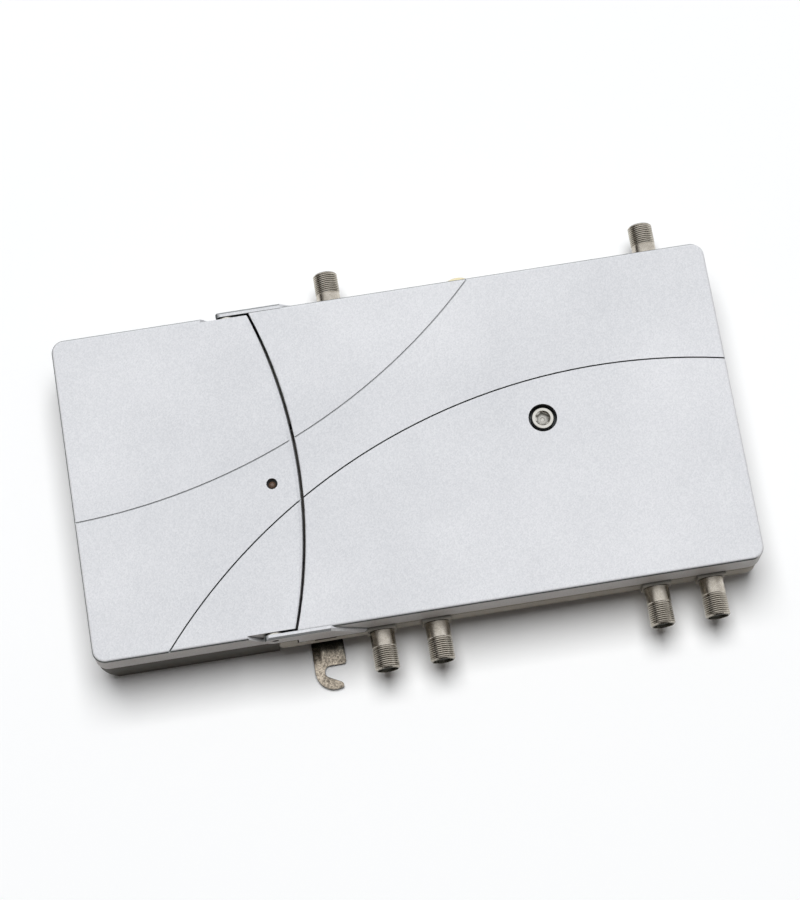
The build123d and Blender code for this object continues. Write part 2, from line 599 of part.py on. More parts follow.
def power_supply_cover():
    """Fixed cover: skirt on three sides, curved and rounded right-hand wall, ear recesses."""
    disc = joint_disc(SUPPLY_JOINT_RADIUS)
    outline = rounded_outline(-HALF_LENGTH, HALF_LENGTH, HALF_WIDTH, CORNER_RADIUS) & disc
    shell = prism(outline, SKIRT_BOTTOM_Z, HEIGHT)
    shell = fillet(top_edges(shell, SUPPLY_JOINT_RADIUS, False), COVER_EDGE_RADIUS)
    inner = rounded_outline(
        COVER_WALL - HALF_LENGTH, HALF_LENGTH - COVER_WALL,
        HALF_WIDTH - COVER_WALL, CORNER_RADIUS - COVER_WALL,
    )
    inner &= joint_disc(SUPPLY_JOINT_RADIUS - COVER_WALL)
    shell -= prism(inner, SKIRT_BOTTOM_Z - CUT_OVERRUN, COVER_UNDERSIDE_Z)
    for side in SIDES:
        near = side * (RECESS_Y - PIN_BOSS_DEPTH)
        far = side * (HALF_WIDTH - COVER_WALL / 2)
        boss = block(
            PIN_X - PIN_BOSS_LEFT_LENGTH, PIN_X + PIN_BOSS_RIGHT_LENGTH,
            min(near, far), max(near, far), SKIRT_BOTTOM_Z, COVER_UNDERSIDE_Z,
        )
        shell += boss
        shell -= ear_recess(side)
        shell -= cross_rod(PIN_X, PIN_Z, PIN_RADIUS, near, far + side * COVER_WALL)
    for width_share, fall in zip(JOINT_SLOPE_WIDTH_SHARES, JOINT_SLOPE_FALLS):
        shell &= joint_slope(width_share, fall)
    shell -= column(
        LIGHT_X, LIGHT_Y, LIGHT_HOLE_RADIUS,
        COVER_UNDERSIDE_Z - CUT_OVERRUN, HEIGHT + CUT_OVERRUN,
    )
    for x in (HOUSING_SCREW_X_LEFT, HOUSING_SCREW_X_RIGHT):
        for side in SIDES:
            y = side * HOUSING_SCREW_Y
            shell += column(x, y, HOUSING_BOSS_RADIUS, SKIRT_BOTTOM_Z, COVER_UNDERSIDE_Z)
            shell -= column(
                x, y, SMALL_SCREW_RADIUS, SKIRT_BOTTOM_Z - CUT_OVERRUN,
                HOUSING_SCREW_TIP_Z + FACE_GAP,
            )
    return shell - engraved_arcs()


def hinge_pins():
    """Two steel pins, fast in the power supply cover and free in the ears."""
    pins = []
    for side in SIDES:
        start = side * (RECESS_Y - PIN_BOSS_DEPTH)
        end = side * (EAR_OUTER_Y - FACE_GAP)
        pins.append(cross_rod(PIN_X, PIN_Z, PIN_RADIUS, start, end))
    return pins


def cover_screw():
    """Hex socket cap screw with a chamfered tip."""
    head_top = SCREW_FLOOR_Z + SCREW_HEAD_HEIGHT
    head = column(SCREW_X, SCREW_Y, SCREW_HEAD_RADIUS, SCREW_FLOOR_Z, head_top)
    rim = edges_at(head, Axis.Z, head_top)
    head = chamfer(rim, SCREW_TIP_CHAMFER / 2)
    socket = Pos(SCREW_X, SCREW_Y) * RegularPolygon(SCREW_HEX_ACROSS / 2, 6, major_radius=False)
    head -= prism(socket, head_top - SCREW_HEX_DEPTH, head_top + CUT_OVERRUN)
    shank = column(SCREW_X, SCREW_Y, SCREW_SHANK_RADIUS, SCREW_TIP_Z, SCREW_FLOOR_Z)
    tip = edges_at(shank, Axis.Z, SCREW_TIP_Z)
    return head + chamfer(tip, SCREW_TIP_CHAMFER)


def cover_screw_retainer():
    """Push-on washer that keeps the screw in the open cover."""
    top = SCREW_CUP_BOTTOM_Z
    washer = column(SCREW_X, SCREW_Y, RETAINER_RADIUS, top - RETAINER_THICKNESS, top)
    return washer - column(
        SCREW_X, SCREW_Y, SCREW_SHANK_RADIUS, top - CUT_OVERRUN, top + CUT_OVERRUN
    )


def cover_screw_nut():
    """Square nut held in the chassis pillar."""
    nut = block(
        SCREW_X - NUT_ACROSS / 2, SCREW_X + NUT_ACROSS / 2,
        SCREW_Y - NUT_ACROSS / 2, SCREW_Y + NUT_ACROSS / 2, NUT_BOTTOM_Z, NUT_TOP_Z,
    )
    nut -= column(
        SCREW_X, SCREW_Y, SCREW_HOLE_RADIUS, NUT_BOTTOM_Z - CUT_OVERRUN, NUT_TOP_Z + CUT_OVERRUN
    )
    mouth = nut.edges().filter_by(GeomType.CIRCLE).sort_by(Axis.Z)[-1]
    return chamfer(mouth, NUT_CHAMFER)


def chassis_body():
    """Tray with a drafted lower wall, a ledge for the skirt and an upper wall inside it."""
    lower = rounded_outline(CHASSIS_LEFT_X, CHASSIS_RIGHT_X, CHASSIS_HALF_WIDTH, CORNER_RADIUS)
    square_end = Pos((CHASSIS_LEFT_X + CHASSIS_EDGE_WALL_X) / 2, 0) * Rectangle(
        CHASSIS_EDGE_WALL_X - CHASSIS_LEFT_X, 2 * CHASSIS_HALF_WIDTH
    )
    body = prism(lower + square_end, CHASSIS_BOTTOM_Z, LEDGE_Z, CHASSIS_DRAFT)
    groove_top = LEDGE_Z - PARTING_LINE_DROP
    inside = rounded_outline(
        CHASSIS_LEFT_X - HALF_WIDTH, CHASSIS_RIGHT_X - PARTING_LINE_DEPTH,
        CHASSIS_HALF_WIDTH - PARTING_LINE_DEPTH, CORNER_RADIUS,
    )
    band = Rectangle(2 * LENGTH, 2 * WIDTH) - inside
    body -= prism(band, groove_top - PARTING_LINE_WIDTH, groove_top)
    upper = rounded_outline(
        CHASSIS_EDGE_WALL_X, UPPER_RIGHT_X, UPPER_HALF_WIDTH, CORNER_RADIUS - COVER_WALL
    )
    body += prism(upper, CHASSIS_BOTTOM_Z, RIM_Z)
    cavity = rounded_outline(
        CAVITY_LEFT_X, CAVITY_RIGHT_X, CAVITY_HALF_WIDTH, CHASSIS_WALL
    )
    body -= prism(cavity, CHASSIS_FLOOR_Z, RIM_Z + CUT_OVERRUN)
    shelf_half_width = CHASSIS_HALF_WIDTH - CHASSIS_WALL
    body -= block(
        CHASSIS_LEFT_X - CUT_OVERRUN, CHASSIS_EDGE_WALL_X,
        -shelf_half_width, shelf_half_width, CHASSIS_FLOOR_Z, RIM_Z + CUT_OVERRUN,
    )
    return body


def chassis_pad(side):
    """Pad under one ear, with an upstand below the ear's arm and the pry slot in its top edge."""
    right = PAD_RIGHT_X + PAD_SLANT_RUN
    bottom = LEDGE_Z - CHASSIS_PAD_HEIGHT
    near = side * (CHASSIS_HALF_WIDTH - CHASSIS_WALL / 2)
    far = side * EAR_OUTER_Y
    pad = block(CHASSIS_LEFT_X, right, min(near, far), max(near, far), bottom, LEDGE_Z)
    corner = edges_at(pad, Axis.Z, bottom).filter_by(Axis.Y)
    pad = fillet(corner.sort_by(Axis.X)[0], CHASSIS_PAD_RADIUS)
    stand_near = side * (HALF_WIDTH + FACE_GAP)
    pad += block(
        CHASSIS_LEFT_X, joint_x(AMPLIFIER_JOINT_RADIUS, HALF_WIDTH) - PARTING_GAP,
        min(stand_near, far), max(stand_near, far),
        LEDGE_Z - PARTING_GAP, PIN_Z - EAR_END_RADIUS - PARTING_GAP,
    )
    slot_near = side * (EAR_OUTER_Y - PRY_SLOT_DEPTH)
    slot_far = side * (EAR_OUTER_Y + CUT_OVERRUN)
    slot = block(
        PRY_SLOT_X - PRY_SLOT_LENGTH / 2, PRY_SLOT_X + PRY_SLOT_LENGTH / 2,
        min(slot_near, slot_far), max(slot_near, slot_far),
        LEDGE_Z - PRY_SLOT_HEIGHT, LEDGE_Z + CUT_OVERRUN,
    )
    return pad - slot


def port_boss(x, side):
    """Square cast boss round one port."""
    near = side * (CHASSIS_HALF_WIDTH - CHASSIS_WALL / 2)
    far = side * (HALF_WIDTH + PORT_BOSS_PROUD)
    bottom = PORT_AXIS_Z - PORT_BOSS_DROP
    boss = block(
        x - PORT_BOSS_WIDTH / 2, x + PORT_BOSS_WIDTH / 2,
        min(near, far), max(near, far), bottom, LEDGE_Z,
    )
    corners = edges_at(boss, Axis.Z, bottom).filter_by(Axis.Y)
    return fillet(corners, PORT_BOSS_ROUNDING)


def keyhole_pad():
    """Wall pad on the underside with a keyhole for a screw head."""
    half_length = KEYHOLE_PAD_LENGTH / 2
    half_width = KEYHOLE_PAD_WIDTH / 2
    pad = block(
        KEYHOLE_X - half_width, KEYHOLE_X + half_width,
        KEYHOLE_Y - half_length, KEYHOLE_Y + half_length, 0, CHASSIS_BOTTOM_Z + CHASSIS_FLOOR / 2,
    )
    entry_y = KEYHOLE_Y - KEYHOLE_SLOT_REACH / 2
    head = Pos(KEYHOLE_X, KEYHOLE_Y) * SlotCenterToCenter(
        KEYHOLE_SLOT_REACH, 2 * KEYHOLE_ENTRY_RADIUS, rotation=90
    )
    slot = Pos(KEYHOLE_X, KEYHOLE_Y) * SlotCenterToCenter(
        KEYHOLE_SLOT_REACH, KEYHOLE_SLOT_WIDTH, rotation=90
    )
    pad -= prism(head, KEYHOLE_SKIN, KEYHOLE_POCKET_DEPTH)
    pad -= prism(slot, -CUT_OVERRUN, KEYHOLE_POCKET_DEPTH)
    return pad - column(
        KEYHOLE_X, entry_y, KEYHOLE_ENTRY_RADIUS, -CUT_OVERRUN, KEYHOLE_POCKET_DEPTH
    )


def cooling_ribs():
    """Ribs under the chassis, which stand on the wall."""
    ribs = []
    half_length = HALF_WIDTH - RIB_END_INSET
    for index in range(-RIB_COUNT_LEFT, RIB_COUNT_RIGHT + 1):
        x = index * RIB_PITCH
        overlap = CHASSIS_BOTTOM_Z + CHASSIS_FLOOR / 2
        beside_pad = abs(x - KEYHOLE_X) < (KEYHOLE_PAD_WIDTH + RIB_THICKNESS) / 2
        back = KEYHOLE_Y - KEYHOLE_PAD_LENGTH / 2 - RIB_THICKNESS if beside_pad else half_length
        ribs.append(block(
            x - RIB_THICKNESS / 2, x + RIB_THICKNESS / 2, -half_length, back, 0, overlap
        ))
    return ribs


def board_screw_places():
    """Places of the screws that hold the amplifier board."""
    left = CAVITY_LEFT_X + BOARD_SCREW_MARGIN
    right = CAVITY_RIGHT_X - BOARD_SCREW_MARGIN
    reach = CAVITY_HALF_WIDTH - BOARD_SCREW_MARGIN
    middle = (left + right) / 2
    return [(x, side * reach) for x in (left, middle, right) for side in SIDES]


def joining_screw_places():
    """Places of the screws that join the power supply base to the chassis."""
    x = BASE_RIGHT_X + LUG_LENGTH / 2 + SMALL_HEAD_RADIUS
    return [(x, side * LUG_Y) for side in SIDES]


def hook_screw_place():
    """Place of the screw that holds the wall hook."""
    return HOOK_LEFT_X + HOOK_WIDTH / 2, HOOK_INNER_LENGTH - HALF_WIDTH - HOOK_SCREW_INSET


def amplifier_chassis():
    """Die-cast tray that carries the ports, the board and the hook."""
    body = chassis_body()
    for side in SIDES:
        body += chassis_pad(side)
    for x, side in PORTS:
        body += port_boss(x, side)
    body += cooling_ribs()
    body += keyhole_pad()
    hook_x, hook_y = hook_screw_place()
    body += column(
        hook_x, hook_y, HOOK_BOSS_RADIUS, HOOK_THICKNESS, CHASSIS_BOTTOM_Z + CHASSIS_FLOOR / 2
    )
    for x, y in board_screw_places():
        body += column(x, y, BOARD_BOSS_RADIUS, CHASSIS_BOTTOM_Z, BOARD_BOTTOM_Z)
        body -= column(
            x, y, SMALL_SCREW_RADIUS, board_screw_tip() - FACE_GAP, BOARD_BOTTOM_Z + CUT_OVERRUN
        )
    for x, y in joining_screw_places():
        body -= column(
            x, y, SMALL_SCREW_RADIUS, CHASSIS_BOTTOM_Z - CUT_OVERRUN,
            CHASSIS_FLOOR_Z + CUT_OVERRUN,
        )
    body += column(SCREW_X, SCREW_Y, PILLAR_RADIUS, CHASSIS_BOTTOM_Z, NUT_TOP_Z)
    body -= block(
        SCREW_X - NUT_ACROSS / 2, SCREW_X + NUT_ACROSS / 2,
        SCREW_Y - NUT_ACROSS / 2, SCREW_Y + NUT_ACROSS / 2,
        NUT_BOTTOM_Z, NUT_TOP_Z + CUT_OVERRUN,
    )
    body -= column(
        SCREW_X, SCREW_Y, SCREW_HOLE_RADIUS, CHASSIS_FLOOR_Z, NUT_BOTTOM_Z + CUT_OVERRUN
    )
    for x, side in PORTS:
        inner = side * (CAVITY_HALF_WIDTH - CUT_OVERRUN)
        outer = side * (HALF_WIDTH + PORT_BOSS_PROUD + CUT_OVERRUN)
        body -= cross_rod(x, PORT_AXIS_Z, PORT_SHANK_RADIUS, inner, outer)
    body -= cross_rod(
        REAR_PLUG_X, REAR_PLUG_Z, REAR_PLUG_SHANK_RADIUS,
        CAVITY_HALF_WIDTH - CUT_OVERRUN, HALF_WIDTH + CUT_OVERRUN,
    )
    body -= column(
        hook_x, hook_y, SMALL_SCREW_RADIUS, -CUT_OVERRUN, hook_screw_tip() + FACE_GAP
    )
    feed = Rot(0, 90, 0) * Cylinder(FEED_RADIUS, 2 * CHASSIS_WALL + CUT_OVERRUN)
    return body - Pos((CHASSIS_EDGE_WALL_X + CAVITY_LEFT_X) / 2, LINK_Y, LINK_Z) * feed


def f_port(x, side):
    """Port body: shank in the wall, smooth collar, threaded end and insulator bore."""
    start = CAVITY_HALF_WIDTH
    collar = HALF_WIDTH + PORT_BOSS_PROUD
    thread = HALF_WIDTH + PORT_COLLAR_END
    end = HALF_WIDTH + PORT_REACH
    profile = Polyline(
        (0, start), (PORT_SHANK_RADIUS, start), (PORT_SHANK_RADIUS, collar),
        (PORT_COLLAR_RADIUS, collar), (PORT_COLLAR_RADIUS, thread),
        (PORT_NECK_RADIUS, thread), (PORT_NECK_RADIUS, thread + PORT_NECK_LENGTH),
        (PORT_THREAD_RADIUS, thread + PORT_NECK_LENGTH),
        (PORT_THREAD_RADIUS, end - PORT_CHAMFER), (PORT_THREAD_RADIUS - PORT_CHAMFER, end),
        (0, end), close=True,
    )
    body = revolve(make_face(profile), Axis.Y)
    body -= cross_rod(0, 0, insulator_radius(), start - CUT_OVERRUN, collar)
    body -= cross_rod(0, 0, PORT_BORE_RADIUS, collar, end + CUT_OVERRUN)
    return place_port(body, x, side)


def insulator_radius():
    """Radius of the insulator in the port's shank."""
    return PORT_SHANK_RADIUS - PORT_SHANK_WALL


def place_port(body, x, side):
    """Move a body drawn along +Y to its port."""
    turn = Rot(0, 0, 180) if side < 0 else Rot(0, 0, 0)
    return Pos(x, 0, PORT_AXIS_Z) * turn * body


def port_insulators():
    """Stepped insulators with a funnel for the cable's centre wire."""
    face = HALF_WIDTH + PORT_REACH - INSULATOR_RECESS
    step = HALF_WIDTH + PORT_BOSS_PROUD
    profile = Polyline(
        (INSULATOR_HOLE_RADIUS, CAVITY_HALF_WIDTH), (insulator_radius(), CAVITY_HALF_WIDTH),
        (insulator_radius(), step), (PORT_BORE_RADIUS, step), (PORT_BORE_RADIUS, face),
        (INSULATOR_HOLE_RADIUS + INSULATOR_FUNNEL, face),
        (INSULATOR_HOLE_RADIUS, face - INSULATOR_FUNNEL), close=True,
    )
    body = revolve(make_face(profile), Axis.Y)
    return [place_port(body, x, side) for x, side in PORTS]


def port_contacts():
    """Contact wires from the ports to the amplifier board."""
    start = CAVITY_HALF_WIDTH - PORT_CONTACT_INNER
    end = HALF_WIDTH + PORT_REACH - INSULATOR_RECESS - 2 * INSULATOR_FUNNEL
    body = cross_rod(0, 0, PORT_CONTACT_RADIUS, start, end)
    return [place_port(body, x, side) for x, side in PORTS]


def rear_plug():
    """Nylon plug with a rounded head, seated in the back wall."""
    z = REAR_PLUG_Z
    end = HALF_WIDTH + REAR_PLUG_PROUD
    seat = CHASSIS_HALF_WIDTH
    head = cross_rod(REAR_PLUG_X, z, REAR_PLUG_RADIUS, seat, end)
    rim = edges_at(head, Axis.Y, end)
    head = fillet(rim, REAR_PLUG_ROUNDING)
    cut = block(
        REAR_PLUG_X - REAR_PLUG_RADIUS, REAR_PLUG_X + REAR_PLUG_RADIUS,
        seat - CUT_OVERRUN, HALF_WIDTH + FACE_GAP, SKIRT_BOTTOM_Z - FACE_GAP, HEIGHT,
    )
    shank = cross_rod(REAR_PLUG_X, z, REAR_PLUG_SHANK_RADIUS, CAVITY_HALF_WIDTH, seat)
    return head - cut + shank


def hook_outline():
    """Strip with an open bow whose mouth faces right."""
    right = HOOK_LEFT_X + HOOK_WIDTH
    outer = -HALF_WIDTH - HOOK_REACH
    inner = HOOK_INNER_LENGTH - HALF_WIDTH
    bow_x = HOOK_LEFT_X + HOOK_BOW_RADIUS
    bow_y = outer + HOOK_BOW_RADIUS
    seat_x = bow_x - HOOK_SEAT_OFFSET
    seat_y = bow_y
    strip_end = seat_y + HOOK_SEAT_RADIUS
    strip = Pos((HOOK_LEFT_X + right) / 2, (inner + bow_y) / 2) * Rectangle(
        HOOK_WIDTH, inner - bow_y
    )
    outline = strip + Pos(bow_x, bow_y) * Circle(HOOK_BOW_RADIUS)
    outline &= Pos((HOOK_LEFT_X + right) / 2, (inner + outer) / 2) * Rectangle(
        HOOK_WIDTH, inner - outer
    )
    slope = math.radians(HOOK_MOUTH_ANGLE)
    low_x = seat_x - HOOK_SEAT_RADIUS * math.sin(slope)
    low_y = seat_y - HOOK_SEAT_RADIUS * math.cos(slope)
    tip_x = right - HOOK_TIP_SETBACK
    tip_y = low_y - (tip_x - low_x) * math.tan(slope)
    far = right + HOOK_WIDTH
    mouth = Polyline(
        (seat_x, strip_end), (far, strip_end), (far, outer - HOOK_WIDTH),
        (tip_x, outer - HOOK_WIDTH), (tip_x, tip_y), (low_x, low_y), (seat_x, seat_y),
        close=True,
    )
    outline -= Pos(seat_x, seat_y) * Circle(HOOK_SEAT_RADIUS)
    outline -= make_face(mouth)
    tips = [
        vertex for vertex in outline.vertices()
        if vertex.Y < strip_end + HOOK_LIP_RADIUS / 2 and vertex.X > tip_x - HOOK_LIP_RADIUS
        and (vertex.Y > tip_y - HOOK_LIP_RADIUS / 2)
    ]
    return fillet(tips, HOOK_LIP_RADIUS)


def wall_hook():
    """Steel hook under the chassis, flush with the wall face."""
    x, y = hook_screw_place()
    strip = prism(hook_outline(), 0, HOOK_THICKNESS)
    strip -= column(x, y, SMALL_SCREW_RADIUS, -CUT_OVERRUN, HOOK_THICKNESS + CUT_OVERRUN)
    return strip - hook_screw_head()


def hook_screw_tip():
    """Highest point of the wall hook's screw."""
    return CHASSIS_BOTTOM_Z + CHASSIS_FLOOR / 2


def hook_screw_head():
    """Countersunk head, flush with the wall face of the hook."""
    x, y = hook_screw_place()
    cone = Cone(HOOK_SCREW_HEAD_RADIUS, SMALL_SCREW_RADIUS, HOOK_SCREW_HEAD_HEIGHT)
    return Pos(x, y, HOOK_SCREW_HEAD_HEIGHT / 2) * cone


def wall_hook_screw():
    """Countersunk screw that holds the hook, driven in from below."""
    x, y = hook_screw_place()
    socket = Pos(x, y) * RegularPolygon(SMALL_RECESS_RADIUS, 6)
    screw = hook_screw_head() + column(x, y, SMALL_SCREW_RADIUS, 0, hook_screw_tip())
    return screw - prism(socket, -CUT_OVERRUN, SMALL_RECESS_DEPTH)


def pan_screw(x, y, seat, tip):
    """Pan head screw driven down from its seat to its tip."""
    top = seat + SMALL_HEAD_HEIGHT
    head = column(x, y, SMALL_HEAD_RADIUS, seat, top)
    rim = edges_at(head, Axis.Z, top)
    head = fillet(rim, SMALL_HEAD_HEIGHT / 2)
    cross = Pos(x, y) * (
        Rectangle(2 * SMALL_RECESS_RADIUS, SMALL_RECESS_RADIUS / 2)
        + Rectangle(SMALL_RECESS_RADIUS / 2, 2 * SMALL_RECESS_RADIUS)
    )
    head -= prism(cross, top - SMALL_RECESS_DEPTH, top + CUT_OVERRUN)
    return head + column(x, y, SMALL_SCREW_RADIUS, tip, seat)


def beyond_base_slope(offset):
    """Wedge outside the base's sloping end wall, moved inwards by an offset."""
    outer = BASE_LEFT_X - CUT_OVERRUN
    foot = BASE_SLOPE_RUN + BASE_SLOPE_RUN * CUT_OVERRUN / BASE_SLOPE_HEIGHT
    outline = Polyline(
        (outer, -CUT_OVERRUN), (BASE_LEFT_X + offset + foot, -CUT_OVERRUN),
        (BASE_LEFT_X + offset, BASE_SLOPE_HEIGHT), (outer, BASE_SLOPE_HEIGHT), close=True,
    )
    return extrude(Plane.XZ * make_face(outline), HALF_WIDTH + CUT_OVERRUN, both=True)


def power_supply_base():
    """Deep tray with a sloping end wall, a lip inside the cover, two lugs and snap nubs."""
    rounding = CORNER_RADIUS - BASE_INSET
    outline = rounded_outline(BASE_LEFT_X, BASE_RIGHT_X + 2 * rounding, BASE_HALF_WIDTH, rounding)
    keep = Pos((BASE_LEFT_X + BASE_RIGHT_X) / 2, 0) * Rectangle(
        BASE_RIGHT_X - BASE_LEFT_X, WIDTH
    )
    outline &= keep
    body = prism(outline, 0, LEDGE_Z, BASE_DRAFT)
    lip = rounded_outline(
        COVER_WALL + FACE_GAP - HALF_LENGTH, BASE_RIGHT_X + 2 * rounding, LIP_HALF_WIDTH,
        CORNER_RADIUS - COVER_WALL - FACE_GAP,
    )
    lip &= keep
    body += prism(lip, LEDGE_Z - BASE_LIP_HEIGHT, LEDGE_Z + BASE_LIP_HEIGHT)
    hollow_left = COVER_WALL + FACE_GAP + BASE_LIP_WALL - HALF_LENGTH
    hollow = rounded_outline(
        hollow_left, BASE_RIGHT_X - BASE_WALL, LIP_HALF_WIDTH - BASE_LIP_WALL, BASE_LIP_WALL
    )
    space = prism(hollow, BASE_FLOOR, LEDGE_Z + BASE_LIP_HEIGHT + CUT_OVERRUN)
    body -= space - beyond_base_slope(BASE_WALL)
    body -= beyond_base_slope(0)
    for side in SIDES:
        near = LIP_HALF_WIDTH - PIN_BOSS_DEPTH - BASE_LIP_WALL
        body -= block(
            PIN_X - PIN_BOSS_LEFT_LENGTH - FACE_GAP, BASE_RIGHT_X + CUT_OVERRUN,
            min(side * near, side * HALF_WIDTH), max(side * near, side * HALF_WIDTH),
            LEDGE_Z, LEDGE_Z + BASE_LIP_HEIGHT + CUT_OVERRUN,
        )
        body += block(
            BASE_RIGHT_X - BASE_WALL / 2, BASE_RIGHT_X + LUG_LENGTH,
            side * LUG_Y - LUG_WIDTH / 2, side * LUG_Y + LUG_WIDTH / 2,
            LUG_BOTTOM_Z, LUG_BOTTOM_Z + LUG_THICKNESS,
        )
    for x, y in joining_screw_places():
        body -= column(
            x, y, SMALL_SCREW_RADIUS, LUG_BOTTOM_Z - CUT_OVERRUN,
            LUG_BOTTOM_Z + LUG_THICKNESS + CUT_OVERRUN,
        )
    body -= block(
        BASE_RIGHT_X - BASE_WALL - CUT_OVERRUN, BASE_RIGHT_X + CUT_OVERRUN,
        LINK_Y - CABLE_NOTCH_WIDTH / 2, LINK_Y + CABLE_NOTCH_WIDTH / 2,
        LINK_Z - CABLE_NOTCH_WIDTH / 2, LEDGE_Z + BASE_LIP_HEIGHT + CUT_OVERRUN,
    )
    for x in (HOUSING_SCREW_X_LEFT, HOUSING_SCREW_X_RIGHT):
        for side in SIDES:
            y = side * HOUSING_SCREW_Y
            body += column(x, y, HOUSING_BOSS_RADIUS, BASE_FLOOR / 2, SKIRT_BOTTOM_Z - FACE_GAP)
            body -= column(x, y, SMALL_SCREW_RADIUS, -CUT_OVERRUN, SKIRT_BOTTOM_Z)
            body -= column(x, y, SMALL_HEAD_RADIUS, -CUT_OVERRUN, SMALL_HEAD_HEIGHT + FACE_GAP)
    for x, y in supply_screw_places():
        body += column(x, y, BOARD_BOSS_RADIUS, BASE_FLOOR / 2, SUPPLY_BOARD_BOTTOM_Z)
        body -= column(
            x, y, SMALL_SCREW_RADIUS, supply_screw_tip() - FACE_GAP,
            SUPPLY_BOARD_BOTTOM_Z + CUT_OVERRUN,
        )
    body -= cross_rod(
        GLAND_X, GLAND_Z, GLAND_BODY_RADIUS, CAVITY_HALF_WIDTH - CUT_OVERRUN,
        HALF_WIDTH + CUT_OVERRUN,
    )
    for index in range(2):
        x = NUB_X + index * NUB_PITCH
        body += Pos(x, -BASE_HALF_WIDTH, LEDGE_Z - NUB_RADIUS) * Sphere(NUB_RADIUS)
    return body


def housing_screws():
    """Screws from below that hold the power supply cover on its base."""
    screws = []
    for x in (HOUSING_SCREW_X_LEFT, HOUSING_SCREW_X_RIGHT):
        for side in SIDES:
            screw = pan_screw(0, 0, 0, HOUSING_SCREW_SEAT_Z - HOUSING_SCREW_TIP_Z)
            turned = Rot(180, 0, 0) * screw
            seat = Pos(x, side * HOUSING_SCREW_Y, HOUSING_SCREW_SEAT_Z)
            screws.append(seat * turned)
    return screws


def joining_screws():
    """Screws that hold the base's lugs on the chassis shelf."""
    seat = LUG_BOTTOM_Z + LUG_THICKNESS
    return [pan_screw(x, y, seat, CHASSIS_BOTTOM_Z + FACE_GAP) for x, y in joining_screw_places()]


def cord_gland():
    """Gland with a six-sided outer flange and an inner nut, its bore open for the cord."""
    wall_outer = BASE_HALF_WIDTH
    end = wall_outer + GLAND_FLANGE_LENGTH
    inner_face = LIP_HALF_WIDTH - BASE_LIP_WALL
    start = inner_face - GLAND_NUT_LENGTH
    hexagon = RegularPolygon(GLAND_FLANGE_RADIUS, GLAND_FLAT_COUNT)
    flange = extrude(Plane.XZ * hexagon, -GLAND_FLANGE_LENGTH)
    nut = extrude(Plane.XZ * hexagon, -GLAND_NUT_LENGTH)
    body = Pos(0, wall_outer, 0) * flange + Pos(0, start, 0) * nut
    body += cross_rod(0, 0, GLAND_BODY_RADIUS, start, end)
    body -= cross_rod(0, 0, GLAND_BORE_RADIUS, start - CUT_OVERRUN, end + CUT_OVERRUN)
    return Pos(GLAND_X, 0, GLAND_Z) * body


def status_led():
    """Small domed light with its flange."""
    top = HEIGHT - LIGHT_DROP
    bottom = top - LIGHT_LENGTH
    body = column(LIGHT_X, LIGHT_Y, LIGHT_RADIUS, bottom, top - LIGHT_RADIUS)
    body += Pos(LIGHT_X, LIGHT_Y, top - LIGHT_RADIUS) * Sphere(LIGHT_RADIUS)
    return body + column(
        LIGHT_X, LIGHT_Y, LIGHT_FLANGE_RADIUS, bottom, bottom + LIGHT_FLANGE_HEIGHT
    )


def led_holder():
    """Black holder under the power supply cover that keeps the light on its axis."""
    half_side = LIGHT_HOLDER_SIDE / 2
    bottom = COVER_UNDERSIDE_Z - LIGHT_HOLDER_HEIGHT
    light_bottom = HEIGHT - LIGHT_DROP - LIGHT_LENGTH
    body = block(
        LIGHT_X - half_side, LIGHT_X + half_side, LIGHT_Y - half_side, LIGHT_Y + half_side,
        bottom, COVER_UNDERSIDE_Z,
    )
    body -= column(
        LIGHT_X, LIGHT_Y, LIGHT_RADIUS, light_bottom, COVER_UNDERSIDE_Z + CUT_OVERRUN
    )
    return body - column(
        LIGHT_X, LIGHT_Y, LIGHT_FLANGE_RADIUS, light_bottom,
        light_bottom + LIGHT_FLANGE_HEIGHT,
    )


def cover_gasket():
    """Conductive seal that lies on the chassis rim."""
    margin = (CHASSIS_WALL - GASKET_WIDTH) / 2
    outer = rounded_outline(
        CHASSIS_EDGE_WALL_X + margin, UPPER_RIGHT_X - margin, UPPER_HALF_WIDTH - margin,
        CORNER_RADIUS - COVER_WALL - margin,
    )
    reach = margin + GASKET_WIDTH
    inner = rounded_outline(
        CHASSIS_EDGE_WALL_X + reach, UPPER_RIGHT_X - reach, UPPER_HALF_WIDTH - reach,
        CORNER_RADIUS - COVER_WALL - margin,
    )
    return prism(outer - inner, RIM_Z, COVER_UNDERSIDE_Z - GASKET_GAP)


def board_screw_tip():
    """Lowest point of the amplifier board's screws."""
    return BOARD_TOP_Z - SMALL_SCREW_LENGTH / 2


def board_screws():
    """Screws of the amplifier board."""
    return [pan_screw(x, y, BOARD_TOP_Z, board_screw_tip()) for x, y in board_screw_places()]


def amplifier_board():
    """Circuit board that fills the amplifier tray and goes round the pillar."""
    outline = rounded_outline(
        CAVITY_LEFT_X + BOARD_MARGIN, CAVITY_RIGHT_X - BOARD_MARGIN,
        CAVITY_HALF_WIDTH - BOARD_MARGIN, BOARD_CORNER,
    )
    outline -= Pos(SCREW_X, SCREW_Y) * Circle(PILLAR_RADIUS + PILLAR_CLEARANCE)
    for x, y in board_screw_places():
        outline -= Pos(x, y) * Circle(SMALL_SCREW_RADIUS)
    return prism(outline, BOARD_BOTTOM_Z, BOARD_TOP_Z)


